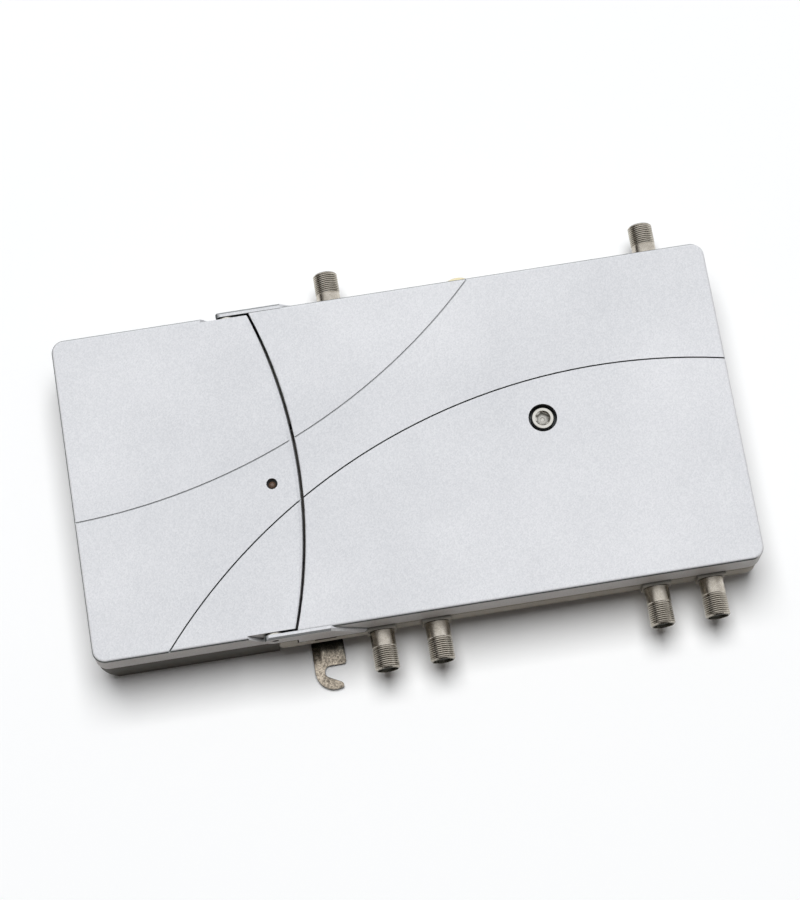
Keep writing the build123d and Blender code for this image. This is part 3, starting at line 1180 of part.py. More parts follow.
def shield_can(x, y):
    """Drawn sheet cover with a row of tuning holes."""
    outer = Pos(x, y) * RectangleRounded(SHIELD_LENGTH, SHIELD_WIDTH, 3 * SHIELD_SHEET)
    inner = Pos(x, y) * RectangleRounded(
        SHIELD_LENGTH - 2 * SHIELD_SHEET, SHIELD_WIDTH - 2 * SHIELD_SHEET, 2 * SHIELD_SHEET
    )
    top = BOARD_TOP_Z + SHIELD_HEIGHT
    can = prism(outer, BOARD_TOP_Z, top)
    can -= prism(inner, BOARD_TOP_Z - CUT_OVERRUN, top - SHIELD_SHEET)
    for index in (-1, 0, 1):
        can -= column(
            x + index * SHIELD_HOLE_PITCH, y, SHIELD_HOLE_RADIUS,
            top - 2 * SHIELD_SHEET, top + CUT_OVERRUN,
        )
    return can


def amplifier_module():
    """Power amplifier block on its long screwed flange."""
    base = BOARD_TOP_Z
    flange = Pos(MODULE_X, MODULE_Y) * SlotOverall(MODULE_FLANGE_LENGTH, MODULE_WIDTH)
    for side in SIDES:
        flange -= Pos(MODULE_X + side * module_screw_reach(), MODULE_Y) * Circle(
            SMALL_SCREW_RADIUS
        )
    body = prism(flange, base, base + MODULE_FLANGE_HEIGHT)
    return body + block(
        MODULE_X - MODULE_LENGTH / 2, MODULE_X + MODULE_LENGTH / 2,
        MODULE_Y - MODULE_WIDTH / 2, MODULE_Y + MODULE_WIDTH / 2,
        base + MODULE_FLANGE_HEIGHT, base + MODULE_HEIGHT,
    )


def module_screw_reach():
    """Distance of the module's screws from its middle."""
    return (MODULE_FLANGE_LENGTH + MODULE_LENGTH) / 4


def module_screws():
    """Screws that press the module down."""
    seat = BOARD_TOP_Z + MODULE_FLANGE_HEIGHT
    return [
        pan_screw(MODULE_X + side * module_screw_reach(), MODULE_Y, seat, BOARD_TOP_Z)
        for side in SIDES
    ]


def trimmer_places():
    """Places of the three adjusters: gain, slope and return gain."""
    return [(TRIMMER_X + index * TRIMMER_PITCH, TRIMMER_Y) for index in range(3)]


def trimmer_bodies():
    """Square bodies of the adjusters, each with a round well for its rotor."""
    bodies = []
    top = BOARD_TOP_Z + TRIMMER_HEIGHT
    for x, y in trimmer_places():
        outline = Pos(x, y) * RectangleRounded(TRIMMER_SIDE, TRIMMER_SIDE, TRIMMER_SLOT_WIDTH)
        body = prism(outline, BOARD_TOP_Z, top)
        bodies.append(body - column(
            x, y, TRIMMER_ROTOR_RADIUS + FACE_GAP, top - TRIMMER_ROTOR_SINK, top + CUT_OVERRUN
        ))
    return bodies


def trimmer_rotor(x, y):
    """Turning disc of one adjuster with a driver slot and a pointer notch."""
    bottom = BOARD_TOP_Z + TRIMMER_HEIGHT - TRIMMER_ROTOR_SINK
    top = bottom + TRIMMER_ROTOR_HEIGHT
    rotor = column(x, y, TRIMMER_ROTOR_RADIUS, bottom, top)
    slot = Pos(x, y) * Rectangle(2 * TRIMMER_ROTOR_RADIUS * TRIMMER_POINTER_SHARE, TRIMMER_SLOT_WIDTH)
    notch = Pos(x + TRIMMER_ROTOR_RADIUS, y) * Rectangle(TRIMMER_SLOT_WIDTH, TRIMMER_SLOT_WIDTH)
    return rotor - prism(slot + notch, top - TRIMMER_SLOT_DEPTH, top + CUT_OVERRUN)


def plug_in_pads():
    """Two plug-in attenuators standing in their sockets."""
    pads = []
    for index in range(2):
        x = PAD_MODULE_X
        y = PAD_MODULE_Y + index * PAD_MODULE_PITCH
        outline = Pos(x, y) * Rectangle(PAD_MODULE_LENGTH, PAD_MODULE_WIDTH)
        pads.append(prism(
            outline, BOARD_TOP_Z + PAD_SOCKET_HEIGHT, BOARD_TOP_Z + PAD_MODULE_HEIGHT
        ))
    return pads


def pad_sockets():
    """Sockets of the plug-in attenuators."""
    sockets = []
    margin = PAD_MODULE_WIDTH / 4
    for index in range(2):
        x = PAD_MODULE_X
        y = PAD_MODULE_Y + index * PAD_MODULE_PITCH
        outline = Pos(x, y) * RectangleRounded(
            PAD_MODULE_LENGTH + 2 * margin, PAD_MODULE_WIDTH + 2 * margin, margin / 2
        )
        sockets.append(prism(outline, BOARD_TOP_Z, BOARD_TOP_Z + PAD_SOCKET_HEIGHT))
    return sockets


def filter_coils():
    """Small filter coils lying on the board."""
    coils = []
    for index in range(COIL_COUNT):
        x = COIL_X + index * COIL_PITCH
        body = Cylinder(COIL_RADIUS, COIL_LENGTH) - Cylinder(
            COIL_BORE_RADIUS, COIL_LENGTH + CUT_OVERRUN
        )
        coils.append(Pos(x, COIL_Y, BOARD_TOP_Z + COIL_RADIUS) * Rot(90, 0, 0) * body)
    return coils


def standing_capacitor(x, y, radius, bottom, height):
    """Round capacitor with a rounded top edge."""
    body = column(x, y, radius, bottom, bottom + height)
    rim = edges_at(body, Axis.Z, bottom + height)
    return fillet(rim, CAPACITOR_ROUNDING)


def smoothing_capacitors():
    """Capacitors of the amplifier board."""
    return [
        standing_capacitor(
            SMOOTHING_X, SMOOTHING_Y + index * SMOOTHING_PITCH, SMOOTHING_RADIUS,
            BOARD_TOP_Z, SMOOTHING_HEIGHT,
        )
        for index in range(2)
    ]


def supply_screw_places():
    """Places of the screws that hold the power supply board."""
    left = SUPPLY_BOARD_LEFT_X + SUPPLY_SCREW_MARGIN
    right = SUPPLY_BOARD_RIGHT_X - SUPPLY_SCREW_MARGIN
    reach = SUPPLY_BOARD_HALF_WIDTH - SUPPLY_SCREW_MARGIN
    return [(x, side * reach) for x in (left, right) for side in SIDES]


def supply_screw_tip():
    """Lowest point of the power supply board's screws."""
    return BASE_FLOOR + FACE_GAP


def supply_board_screws():
    """Screws of the power supply board."""
    return [
        pan_screw(x, y, SUPPLY_BOARD_TOP_Z, supply_screw_tip())
        for x, y in supply_screw_places()
    ]


def power_supply_board():
    """Circuit board of the power supply."""
    outline = rounded_outline(
        SUPPLY_BOARD_LEFT_X, SUPPLY_BOARD_RIGHT_X, SUPPLY_BOARD_HALF_WIDTH, BOARD_CORNER
    )
    for x, y in supply_screw_places():
        outline -= Pos(x, y) * Circle(SMALL_SCREW_RADIUS)
    return prism(outline, SUPPLY_BOARD_BOTTOM_Z, SUPPLY_BOARD_TOP_Z)


def transformer_core():
    """Ferrite core: two side legs and a middle leg through the coil."""
    bottom = SUPPLY_BOARD_TOP_Z
    half_length = CORE_LENGTH / 2
    half_width = CORE_WIDTH / 2
    top = bottom + CORE_HEIGHT
    core = block(
        CORE_X - half_length, CORE_X + half_length, CORE_Y - half_width, CORE_Y + half_width,
        bottom, top,
    )
    window = block(
        CORE_X - half_length + CORE_LEG / 2, CORE_X + half_length - CORE_LEG / 2,
        CORE_Y - CORE_WIDTH, CORE_Y + CORE_WIDTH, bottom + CORE_LEG / 2, top - CORE_LEG / 2,
    )
    return core - window + column(CORE_X, CORE_Y, CORE_LEG / 2, bottom, top)


def transformer_coil():
    """Wound bobbin round the middle leg."""
    bottom = SUPPLY_BOARD_TOP_Z + CORE_LEG / 2
    top = SUPPLY_BOARD_TOP_Z + CORE_HEIGHT - CORE_LEG / 2
    coil = column(CORE_X, CORE_Y, WINDING_RADIUS - WINDING_FLANGE, bottom, top)
    coil += column(CORE_X, CORE_Y, WINDING_RADIUS, bottom, bottom + WINDING_FLANGE)
    coil += column(CORE_X, CORE_Y, WINDING_RADIUS, top - WINDING_FLANGE, top)
    return coil - column(
        CORE_X, CORE_Y, CORE_LEG / 2, bottom - CUT_OVERRUN, top + CUT_OVERRUN
    )


def mains_capacitor():
    """Large capacitor on the mains side."""
    return standing_capacitor(
        MAINS_CAPACITOR_X, MAINS_CAPACITOR_Y, MAINS_CAPACITOR_RADIUS,
        SUPPLY_BOARD_TOP_Z, MAINS_CAPACITOR_HEIGHT,
    )


def output_capacitors():
    """Two capacitors on the low voltage side."""
    return [
        standing_capacitor(
            OUTPUT_CAPACITOR_X, OUTPUT_CAPACITOR_Y + index * OUTPUT_CAPACITOR_PITCH,
            OUTPUT_CAPACITOR_RADIUS, SUPPLY_BOARD_TOP_Z, OUTPUT_CAPACITOR_HEIGHT,
        )
        for index in range(2)
    ]


def heat_sink():
    """Finned heat sink beside the switching transistor."""
    bottom = SUPPLY_BOARD_TOP_Z
    top = bottom + SINK_HEIGHT
    left = SINK_X - SINK_LENGTH / 2
    body = block(left, left + SINK_LENGTH, SINK_Y, SINK_Y + SINK_SHEET, bottom, top)
    pitch = (SINK_LENGTH - SINK_SHEET) / (SINK_FIN_COUNT - 1)
    for index in range(SINK_FIN_COUNT):
        x = left + index * pitch
        body += block(
            x, x + SINK_SHEET, SINK_Y - SINK_FIN_REACH, SINK_Y + SINK_SHEET / 2, bottom, top
        )
    return body


def switching_transistor():
    """Switching transistor against the heat sink."""
    front = SINK_Y + SINK_SHEET
    return block(
        SINK_X - TRANSISTOR_LENGTH / 2, SINK_X + TRANSISTOR_LENGTH / 2,
        front, front + TRANSISTOR_THICKNESS,
        SUPPLY_BOARD_TOP_Z, SUPPLY_BOARD_TOP_Z + TRANSISTOR_HEIGHT,
    )


def mains_fuse():
    """Glass tube fuse with its two end caps."""
    z = SUPPLY_BOARD_TOP_Z + FUSE_RISE
    front = FUSE_Y - FUSE_LENGTH / 2
    back = FUSE_Y + FUSE_LENGTH / 2
    cap = FUSE_RADIUS + FUSE_CAP_EXTRA
    fuse = cross_rod(FUSE_X, z, FUSE_RADIUS, front, back)
    fuse += cross_rod(FUSE_X, z, cap, front, front + FUSE_CAP_LENGTH)
    return fuse + cross_rod(FUSE_X, z, cap, back - FUSE_CAP_LENGTH, back)


def fuse_clips():
    """Two sheet clips that hold the fuse caps."""
    clips = []
    z = SUPPLY_BOARD_TOP_Z + FUSE_RISE
    cap = FUSE_RADIUS + FUSE_CAP_EXTRA
    reach = (FUSE_LENGTH - FUSE_CAP_LENGTH) / 2
    for side in SIDES:
        y = FUSE_Y + side * reach
        front = y - CLIP_WIDTH / 2
        back = y + CLIP_WIDTH / 2
        clip = cross_rod(FUSE_X, z, cap + CLIP_SHEET, front, back)
        clip += block(
            FUSE_X - CLIP_SHEET, FUSE_X + CLIP_SHEET, front, back, SUPPLY_BOARD_TOP_Z, z - cap
        )
        clip -= cross_rod(FUSE_X, z, cap, front - CUT_OVERRUN, back + CUT_OVERRUN)
        clip -= block(
            FUSE_X - 2 * cap, FUSE_X + 2 * cap, front - CUT_OVERRUN, back + CUT_OVERRUN,
            z + cap / 2, z + 3 * cap,
        )
        clips.append(clip)
    return clips


def terminal_block():
    """Stepped terminal block for the mains cord."""
    bottom = SUPPLY_BOARD_TOP_Z
    left = TERMINAL_X - TERMINAL_LENGTH / 2
    body = block(
        left, left + TERMINAL_LENGTH, TERMINAL_Y - TERMINAL_WIDTH / 2,
        TERMINAL_Y + TERMINAL_WIDTH / 2, bottom, bottom + TERMINAL_HEIGHT - TERMINAL_STEP,
    )
    body += block(
        left, left + TERMINAL_LENGTH, TERMINAL_Y - TERMINAL_WIDTH / 2,
        TERMINAL_Y, bottom, bottom + TERMINAL_HEIGHT,
    )
    pitch = TERMINAL_LENGTH / TERMINAL_WAY_COUNT
    for index in range(TERMINAL_WAY_COUNT):
        x = left + (index + 0.5) * pitch
        body -= cross_rod(
            x, bottom + TERMINAL_STEP, TERMINAL_ENTRY_RADIUS, TERMINAL_Y,
            TERMINAL_Y + TERMINAL_WIDTH,
        )
        body -= column(
            x, TERMINAL_Y - TERMINAL_WIDTH / 4, TERMINAL_ENTRY_RADIUS,
            bottom + TERMINAL_HEIGHT - TERMINAL_STEP / 2, bottom + TERMINAL_HEIGHT + CUT_OVERRUN,
        )
    return body


def power_feedthrough():
    """Feedthrough in the chassis wall that takes the supply voltage."""
    outer = CHASSIS_EDGE_WALL_X
    body = Pos((outer + CAVITY_LEFT_X) / 2, 0, 0) * Rot(0, 90, 0) * Cylinder(
        FEED_RADIUS, CHASSIS_WALL
    )
    body += Pos(outer - FEED_FLANGE_LENGTH / 2, 0, 0) * Rot(0, 90, 0) * Cylinder(
        FEED_FLANGE_RADIUS, FEED_FLANGE_LENGTH
    )
    return Pos(0, LINK_Y, LINK_Z) * body


def supply_link():
    """Lead from the power supply board to the feedthrough."""
    end_x = CHASSIS_EDGE_WALL_X - FEED_FLANGE_LENGTH
    start = (LINK_START_X, LINK_Y, SUPPLY_BOARD_TOP_Z)
    corner = (LINK_START_X, LINK_Y, LINK_Z)
    path = FilletPolyline(start, corner, (end_x, LINK_Y, LINK_Z), radius=LINK_BEND_RADIUS)
    section = Plane(origin=start, z_dir=(0, 0, 1)) * Circle(LINK_WIRE_RADIUS)
    return sweep(section, path)


def all_parts():
    """Every sub-part by its node name."""
    parts = {
        "amplifier_chassis": amplifier_chassis(),
        "amplifier_cover": amplifier_cover(),
        "power_supply_base": power_supply_base(),
        "power_supply_cover": power_supply_cover(),
        "hinge_pins": hinge_pins(),
        "cover_screw": cover_screw(),
        "cover_screw_retainer": cover_screw_retainer(),
        "cover_screw_nut": cover_screw_nut(),
        "cover_gasket": cover_gasket(),
        "port_insulators": port_insulators(),
        "port_contacts": port_contacts(),
        "rear_plug": rear_plug(),
        "wall_hook": wall_hook(),
        "wall_hook_screw": wall_hook_screw(),
        "status_led": status_led(),
        "led_holder": led_holder(),
        "amplifier_board": amplifier_board(),
        "board_screws": board_screws(),
        "input_shield": shield_can(INPUT_SHIELD_X, INPUT_SHIELD_Y),
        "output_shield": shield_can(OUTPUT_SHIELD_X, OUTPUT_SHIELD_Y),
        "amplifier_module": amplifier_module(),
        "module_screws": module_screws(),
        "trimmer_bodies": trimmer_bodies(),
        "plug_in_pads": plug_in_pads(),
        "pad_sockets": pad_sockets(),
        "filter_coils": filter_coils(),
        "smoothing_capacitors": smoothing_capacitors(),
        "power_supply_board": power_supply_board(),
        "supply_board_screws": supply_board_screws(),
        "transformer_core": transformer_core(),
        "transformer_coil": transformer_coil(),
        "mains_capacitor": mains_capacitor(),
        "output_capacitors": output_capacitors(),
        "heat_sink": heat_sink(),
        "switching_transistor": switching_transistor(),
        "mains_fuse": mains_fuse(),
        "fuse_clips": fuse_clips(),
        "terminal_block": terminal_block(),
        "housing_screws": housing_screws(),
        "joining_screws": joining_screws(),
        "cord_gland": cord_gland(),
        "power_feedthrough": power_feedthrough(),
        "supply_link": supply_link(),
    }
    for index, (x, side) in enumerate(PORTS):
        parts[f"f_port_{index + 1}"] = f_port(x, side)
    names = ("gain_trimmer", "slope_trimmer", "return_trimmer")
    for name, (x, y) in zip(names, trimmer_places()):
        parts[name] = trimmer_rotor(x, y)
    return parts


def main():
    """Write one file per sub-part."""
    os.makedirs("parts", exist_ok=True)
    for name, shape in all_parts().items():
        solid = Compound(children=list(shape)) if isinstance(shape, list) else shape
        export_step(solid, f"parts/{name}.step")


main()
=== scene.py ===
"""A wall-mounting television signal amplifier, dressed in its finishes for its photograph.

Lengths are in millimetres until `metres` or `metre` turns them into the row frame's metres. X runs
along the body from the power supply to the amplifier, Y from the edge with four ports to the edge
with two, and Z away from the wall.
"""
import logging
import math
from dataclasses import dataclass
from enum import Enum
from functools import reduce

import bmesh
import bpy
import numpy as np
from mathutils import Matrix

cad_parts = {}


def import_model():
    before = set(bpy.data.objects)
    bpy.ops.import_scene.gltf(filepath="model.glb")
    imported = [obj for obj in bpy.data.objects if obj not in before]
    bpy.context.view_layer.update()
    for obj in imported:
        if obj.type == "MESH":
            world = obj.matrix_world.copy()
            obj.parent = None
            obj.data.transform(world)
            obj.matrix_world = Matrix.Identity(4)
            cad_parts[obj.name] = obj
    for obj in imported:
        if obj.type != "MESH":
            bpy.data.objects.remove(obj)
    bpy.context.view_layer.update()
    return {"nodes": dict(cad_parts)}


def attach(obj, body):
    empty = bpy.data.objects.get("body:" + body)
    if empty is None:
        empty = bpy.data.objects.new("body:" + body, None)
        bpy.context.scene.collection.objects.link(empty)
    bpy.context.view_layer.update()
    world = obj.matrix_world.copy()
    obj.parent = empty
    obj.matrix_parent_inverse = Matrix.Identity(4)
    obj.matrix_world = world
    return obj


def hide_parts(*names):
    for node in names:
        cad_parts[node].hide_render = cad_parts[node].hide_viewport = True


LOG = logging.getLogger("amplifier")
MILLIMETRE = 0.001
FULL_TURN = 2 * np.pi
# Places of the colour inputs and the colour result on Blender's mix node
MIX_FIRST, MIX_SECOND, MIX_RESULT = 6, 7, 2
# Blender's wave texture draws this many bands to the unit at scale 1
WAVE_BANDS = 3.2
# Short names of types
Tree = bpy.types.NodeTree
Socket = bpy.types.NodeSocket
Array = np.ndarray
Pair = tuple[float, float]
Triple = tuple[float, float, float]


def metres(points: Array) -> Array:
    """Millimetres to the row frame's metres."""
    return np.asarray(points, float) * MILLIMETRE


def metre(length: float) -> float:
    """One length in millimetres to the row frame's metres."""
    return float(metres(length))


def linear(colour: str) -> tuple[float, ...]:
    """Turn an sRGB colour, six hex digits, into linear red, green, blue and a full alpha."""
    levels = [int(colour[i:i + 2], 16) / 255 for i in (0, 2, 4)]
    return *(v / 12.92 if v <= 0.04045 else ((v + 0.055) / 1.055) ** 2.4 for v in levels), 1.0


def add_node(
    tree: Tree, kind: str, inputs: dict | None = None, **settings: object
) -> bpy.types.Node:
    """Add one shader node with its settings and links.

    Args:
        tree: the node tree that gets it.
        kind: its Blender type without the leading ShaderNode.
        inputs: input name or number, to a value or to another node's output.
        settings: the node's own properties.

    Returns:
        The new node.
    """
    node = tree.nodes.new("ShaderNode" + kind)
    for name, value in settings.items():
        setattr(node, name, value)
    for key, value in (inputs or {}).items():
        if isinstance(value, Socket):
            tree.links.new(value, node.inputs[key])
        else:
            node.inputs[key].default_value = value
    return node


def sum_node(tree: Tree, operation: str, *values: float | Socket) -> Socket:
    """Add one math node, which works out its operation on the values, and give its output."""
    return add_node(tree, "Math", dict(enumerate(values)), operation=operation).outputs[0]


def blend(tree: Tree, share: Socket, first: object, second: object) -> Socket:
    """Add one mix of two colours, all the first at share 0 and all the second at 1."""
    inputs = {0: share, MIX_FIRST: first, MIX_SECOND: second}
    return add_node(tree, "Mix", inputs, data_type="RGBA").outputs[MIX_RESULT]


def ramp(tree: Tree, value: Socket, start: float, end: float, kind: str = "LINEAR") -> Socket:
    """Add one ramp of a value, 0 up to the start and 1 from the end, and give its output."""
    inputs = {0: value, 1: start, 2: end}
    return add_node(tree, "MapRange", inputs, interpolation_type=kind).outputs[0]


def bare_tree(owner: bpy.types.ID) -> Tree:
    """Switch a material's or a world's nodes on and clear them away.

    Args:
        owner: the material or the world.

    Returns:
        Its empty node tree.
    """
    owner.use_nodes = True
    owner.node_tree.nodes.clear()
    return owner.node_tree


def seen_rays(tree: Tree) -> Socket:
    """Tell the rays that are seen from those that give light.

    Args:
        tree: the material's or the world's nodes.

    Returns:
        1 for a ray from the camera, straight, through glass or mirrored, 0 for any other.
    """
    rays = add_node(tree, "LightPath").outputs
    direct = sum_node(tree, "MAXIMUM", rays["Is Camera Ray"], rays["Is Transmission Ray"])
    return sum_node(tree, "MAXIMUM", direct, rays["Is Glossy Ray"])


def placed(name: str, data: bpy.types.ID) -> bpy.types.Object:
    """Make an object of the data and put it in the scene.

    Args:
        name: the object's name.
        data: its mesh, camera or lamp.

    Returns:
        The object, at the origin.
    """
    made = bpy.data.objects.new(name, data)
    bpy.context.scene.collection.objects.link(made)
    return made


class Surface(Enum):
    """How a finish was made, which decides the pattern of its relief."""

    GRAIN = "fine even grain"
    SPARKLE = "paint with flakes"
    BRUSHED = "drawn or rolled, with streaks"
    WEAVE = "glass cloth under varnish"


@dataclass(frozen=True)
class Finish:
    """One real finish: its colours, its gloss and the size of its grain.

    Sizes are in millimetres, and swing is how far the roughness goes both ways. A span says at
    which two values of a pattern, an open share or a facing a change takes place.
    """

    name: str
    colour: str
    shade: str
    roughness: float
    metallic: float = 0.0
    surface: Surface = Surface.GRAIN
    grain: float = 0.5
    relief: float = 0.01
    patch: float = 12.0
    patch_detail: float = 4.0
    swing: float = 0.06
    coat: float = 0.0
    transmission: float = 0.0
    ior: float = 1.5
    gloss: float = 0.5
    streak: Triple = (1.0, 1.0, 1.0)
    streak_detail: float = 3.0
    wobble: float = 0.6
    fine_share: float = 0.65
    colour_span: Pair = (0.35, 1.25)
    gloss_span: Pair = (0.3, 1.3)
    bump: float = 0.6
    # Painted shade in thread grooves and port mouths, by a share stored at each vertex
    painted_hollow_shade: str = ""
    # Painted shade in crevices, by ambient occlusion: its colour, reach, open-share span, samples
    painted_crevice_shade: str = ""
    crevice_shade_reach: float = 3.5
    crevice_shade_span: Pair = (0.3, 0.8)
    crevice_shade_samples: int = 8
    # Painted dark reflection on rounded upper edges: its colour, and the facings that choose where
    edge: str = ""
    edge_rise: Pair = (0.1, 0.3)
    edge_fall: Pair = (0.9, 0.6)
    edge_side: Pair = (0.4, 0.2)
    edge_narrowing: float = 0.12
    arm_middle: float = -44.4
    arm_half: float = 6.7
    arm_root: float = 64.3

    def pattern(self, tree: Tree, place: Socket) -> Socket:
        """The fine pattern, from 0 to 1, at the grain's real size.

        Args:
            tree: the material's nodes.
            place: object coordinates in metres.

        Returns:
            The pattern's output.
        """
        scale = 1.0 / metre(self.grain)
        if self.surface is Surface.SPARKLE:
            flakes = add_node(tree, "TexVoronoi", {"Vector": place, "Scale": scale})
            return add_node(tree, "RGBToBW", {0: flakes.outputs["Color"]}).outputs[0]
        if self.surface is Surface.WEAVE:
            inputs = {"Vector": place, "Scale": scale / WAVE_BANDS, "Distortion": self.wobble}
            threads = [add_node(tree, "TexWave", inputs, bands_direction=way) for way in "XY"]
            return sum_node(tree, "MULTIPLY", *[thread.outputs["Fac"] for thread in threads])
        inputs = {"Vector": place, "Scale": scale}
        if self.surface is Surface.BRUSHED:
            mapped = add_node(tree, "Mapping", {0: place, "Scale": self.streak}).outputs[0]
            inputs |= {"Vector": mapped, "Detail": self.streak_detail}
        return add_node(tree, "TexNoise", inputs).outputs["Fac"]

    def beside_arms(self, tree: Tree, place: Socket) -> Socket:
        """Where a long edge is free, since lid and arm run together at an arm's root.

        Args:
            tree: the material's nodes.
            place: object coordinates in metres.

        Returns:
            The mask's output, 0 at the roots of the arms and 1 elsewhere.
        """
        parts = add_node(tree, "SeparateXYZ", {0: place}).outputs
        along = sum_node(tree, "ADD", parts["X"], -metre(self.arm_middle))
        along = sum_node(tree, "ABSOLUTE", along)
        away = sum_node(tree, "GREATER_THAN", along, metre(self.arm_half))
        across = sum_node(tree, "ABSOLUTE", parts["Y"])
        outer = sum_node(tree, "GREATER_THAN", across, metre(self.arm_root))
        return sum_node(tree, "MAXIMUM", away, outer)

    def painted_edge_shade_mask(self, tree: Tree, place: Socket) -> Socket:
        """Where a rounded upper edge is, told by the way that it faces, for its painted dark
        reflection.

        Args:
            tree: the material's nodes.
            place: object coordinates in metres.

        Returns:
            The product of four masks: a little up, not much up, not to high X, not beside an arm.
        """
        facing = add_node(tree, "TexCoord").outputs["Normal"]
        parts = add_node(tree, "SeparateXYZ", {0: facing}).outputs
        aside = sum_node(tree, "ABSOLUTE", parts["X"])
        lifted = sum_node(tree, "MULTIPLY_ADD", aside, self.edge_narrowing, parts["Z"])
        masks = [ramp(tree, parts["Z"], *self.edge_rise), ramp(tree, lifted, *self.edge_fall),
                 ramp(tree, parts["X"], *self.edge_side), self.beside_arms(tree, place)]
        return reduce(lambda found, mask: sum_node(tree, "MULTIPLY", found, mask), masks)

    def material(self) -> bpy.types.Material:
        """Build this finish's material once.

        Returns:
            The material: colour, gloss and relief follow the fine pattern and slow patches, under
            the painted shade in grooves and mouths, the painted dark reflection on upper edges and
            the painted shade in crevices that it may have.
        """
        found = bpy.data.materials.get(self.name)
        if found is not None:
            return found
        made = bpy.data.materials.new(self.name)
        tree = bare_tree(made)
        place = add_node(tree, "TexCoord").outputs["Object"]
        fine = self.pattern(tree, place)
        inputs = {"Vector": place, "Scale": 1.0 / metre(self.patch), "Detail": self.patch_detail}
        slow = add_node(tree, "TexNoise", inputs)
        mixed = sum_node(tree, "MULTIPLY_ADD", fine, self.fine_share, slow.outputs["Fac"])
        share = ramp(tree, mixed, *self.colour_span)
        tint = blend(tree, share, linear(self.shade), linear(self.colour))
        values = (mixed, *self.gloss_span, self.roughness + self.swing, self.roughness - self.swing)
        rough = add_node(tree, "MapRange", dict(enumerate(values)))
        inputs = {"Strength": self.bump, "Distance": metre(self.relief), "Height": fine}
        bump = add_node(tree, "Bump", inputs)
        # Painted shade in hollows, by the share stored at each vertex
        if self.painted_hollow_shade:
            depth = add_node(tree, "Attribute", attribute_name="depth")
            tint = blend(tree, depth.outputs["Fac"], tint, linear(self.painted_hollow_shade))
        # Painted dark reflection: darkens rounded upper edges chosen by their facing
        if self.edge:
            tint = blend(tree, self.painted_edge_shade_mask(tree, place), tint, linear(self.edge))
        # Painted shade: darkens where ambient occlusion finds crevices, seams and recesses
        if self.painted_crevice_shade:
            inputs = {"Distance": metre(self.crevice_shade_reach)}
            hidden = add_node(tree, "AmbientOcclusion", inputs, samples=self.crevice_shade_samples)
            share = ramp(tree, hidden.outputs["AO"], *self.crevice_shade_span)
            tint = blend(tree, share, linear(self.painted_crevice_shade), tint)
        inputs = {"Base Color": tint, "Roughness": rough.outputs[0], "Normal": bump.outputs[0],
                  "Metallic": self.metallic, "IOR": self.ior, "Specular IOR Level": self.gloss,
                  "Coat Weight": self.coat, "Transmission Weight": self.transmission}
        shader = add_node(tree, "BsdfPrincipled", inputs)
        add_node(tree, "OutputMaterial", {0: shader.outputs[0]})
        return made


# Aluminium flake paint on die-cast lids: satin, its coarse flakes catch the light one by one.
# Painted shade darkens its crevices, and a painted dark reflection its rounded upper edges.
SILVER_PAINT = Finish(
    "silver_flake_paint", "e7e8eb", "cfd1d5", 0.5, 0.1, Surface.SPARKLE, grain=0.45, patch=60.0,
    swing=0.05, gloss=0.25, painted_crevice_shade="2b3231", crevice_shade_reach=2.4, edge="3a4241")
# Die-cast zinc alloy, tumbled: satin grey with a fine peel, and painted shade in its crevices.
CAST_METAL = Finish(
    "tumbled_die_casting", "cbc8c1", "b3b0a8", 0.55, 0.1, grain=0.9, relief=0.03, patch=25.0,
    gloss=0.25, painted_crevice_shade="2b2c29")
# ABS moulded in a spark-eroded tool: dark and matt with a pebble grain.
DARK_ABS = Finish(
    "textured_dark_abs", "5a5852", "474540", 0.6, grain=0.6, relief=0.03, patch=30.0, ior=1.54,
    gloss=0.3)
# Nickel plate on turned brass: warm and bright, with painted shade in the thread and round the
# mouth.
NICKEL = Finish(
    "nickel_plated_brass", "e0d9cd", "a0988b", 0.26, 1.0, relief=0.05, patch=3.0, painted_hollow_shade="66635a")
# Zinc plate on pressed strip: speckled and a little yellow, with painted shade where it leaves the
# body.
ZINC_PLATE = Finish(
    "zinc_plated_strip", "ddd0bd", "4b4238", 0.18, 0.95, Surface.SPARKLE, relief=0.006, patch=3.0,
    painted_crevice_shade="232b28", crevice_shade_reach=16.0, crevice_shade_span=(0.58, 0.76))
# Zinc plate on a turned or headed screw: brighter, finer, with painted shade in its socket.
SCREW_STEEL = Finish(
    "plated_screw_steel", "f0eee7", "d6d2c8", 0.22, 1.0, grain=0.4, relief=0.008, patch=3.0,
    painted_crevice_shade="2b2a26", crevice_shade_reach=2.8)
# Natural nylon: milky, waxy.
CREAM_NYLON = Finish("natural_nylon", "efe6c6", "dccf9f", 0.42, patch=5.0, ior=1.53)
# Polyethylene port insulator: dark and waxy.
INSULATOR = Finish(
    "port_insulator", "4a504c", "383d3a", 0.45, grain=0.4, patch=3.0, ior=1.51, gloss=0.3)
# Beryllium copper, silvered: bright spring wire.
CONTACT_WIRE = Finish(
    "silvered_contact_wire", "d9d2bd", "bfb48f", 0.2, 1.0, Surface.BRUSHED, grain=0.3, relief=0.004,
    patch=3.0, streak=(1.0, 0.1, 1.0))
# Foam rubber with a conductive skin: dark grey and open.
GASKET_FOAM = Finish(
    "conductive_foam_rubber", "3f4042", "303133", 0.8, grain=0.35, relief=0.06, patch=8.0, ior=1.52)
# Tinted epoxy of an unlit lamp: brown and clear, smooth.
LAMP_EPOXY = Finish(
    "tinted_lamp_epoxy", "7d6656", "634d41", 0.14, relief=0.002, patch=2.0, swing=0.03, coat=0.4,
    transmission=0.25, ior=1.54)
# Glass cloth under green solder mask: glossy, with a faint weave.
SOLDER_MASK = Finish(
    "green_solder_mask", "1f6a3c", "17552f", 0.3, surface=Surface.WEAVE, grain=0.8, patch=9.0,
    coat=0.3, ior=1.55)
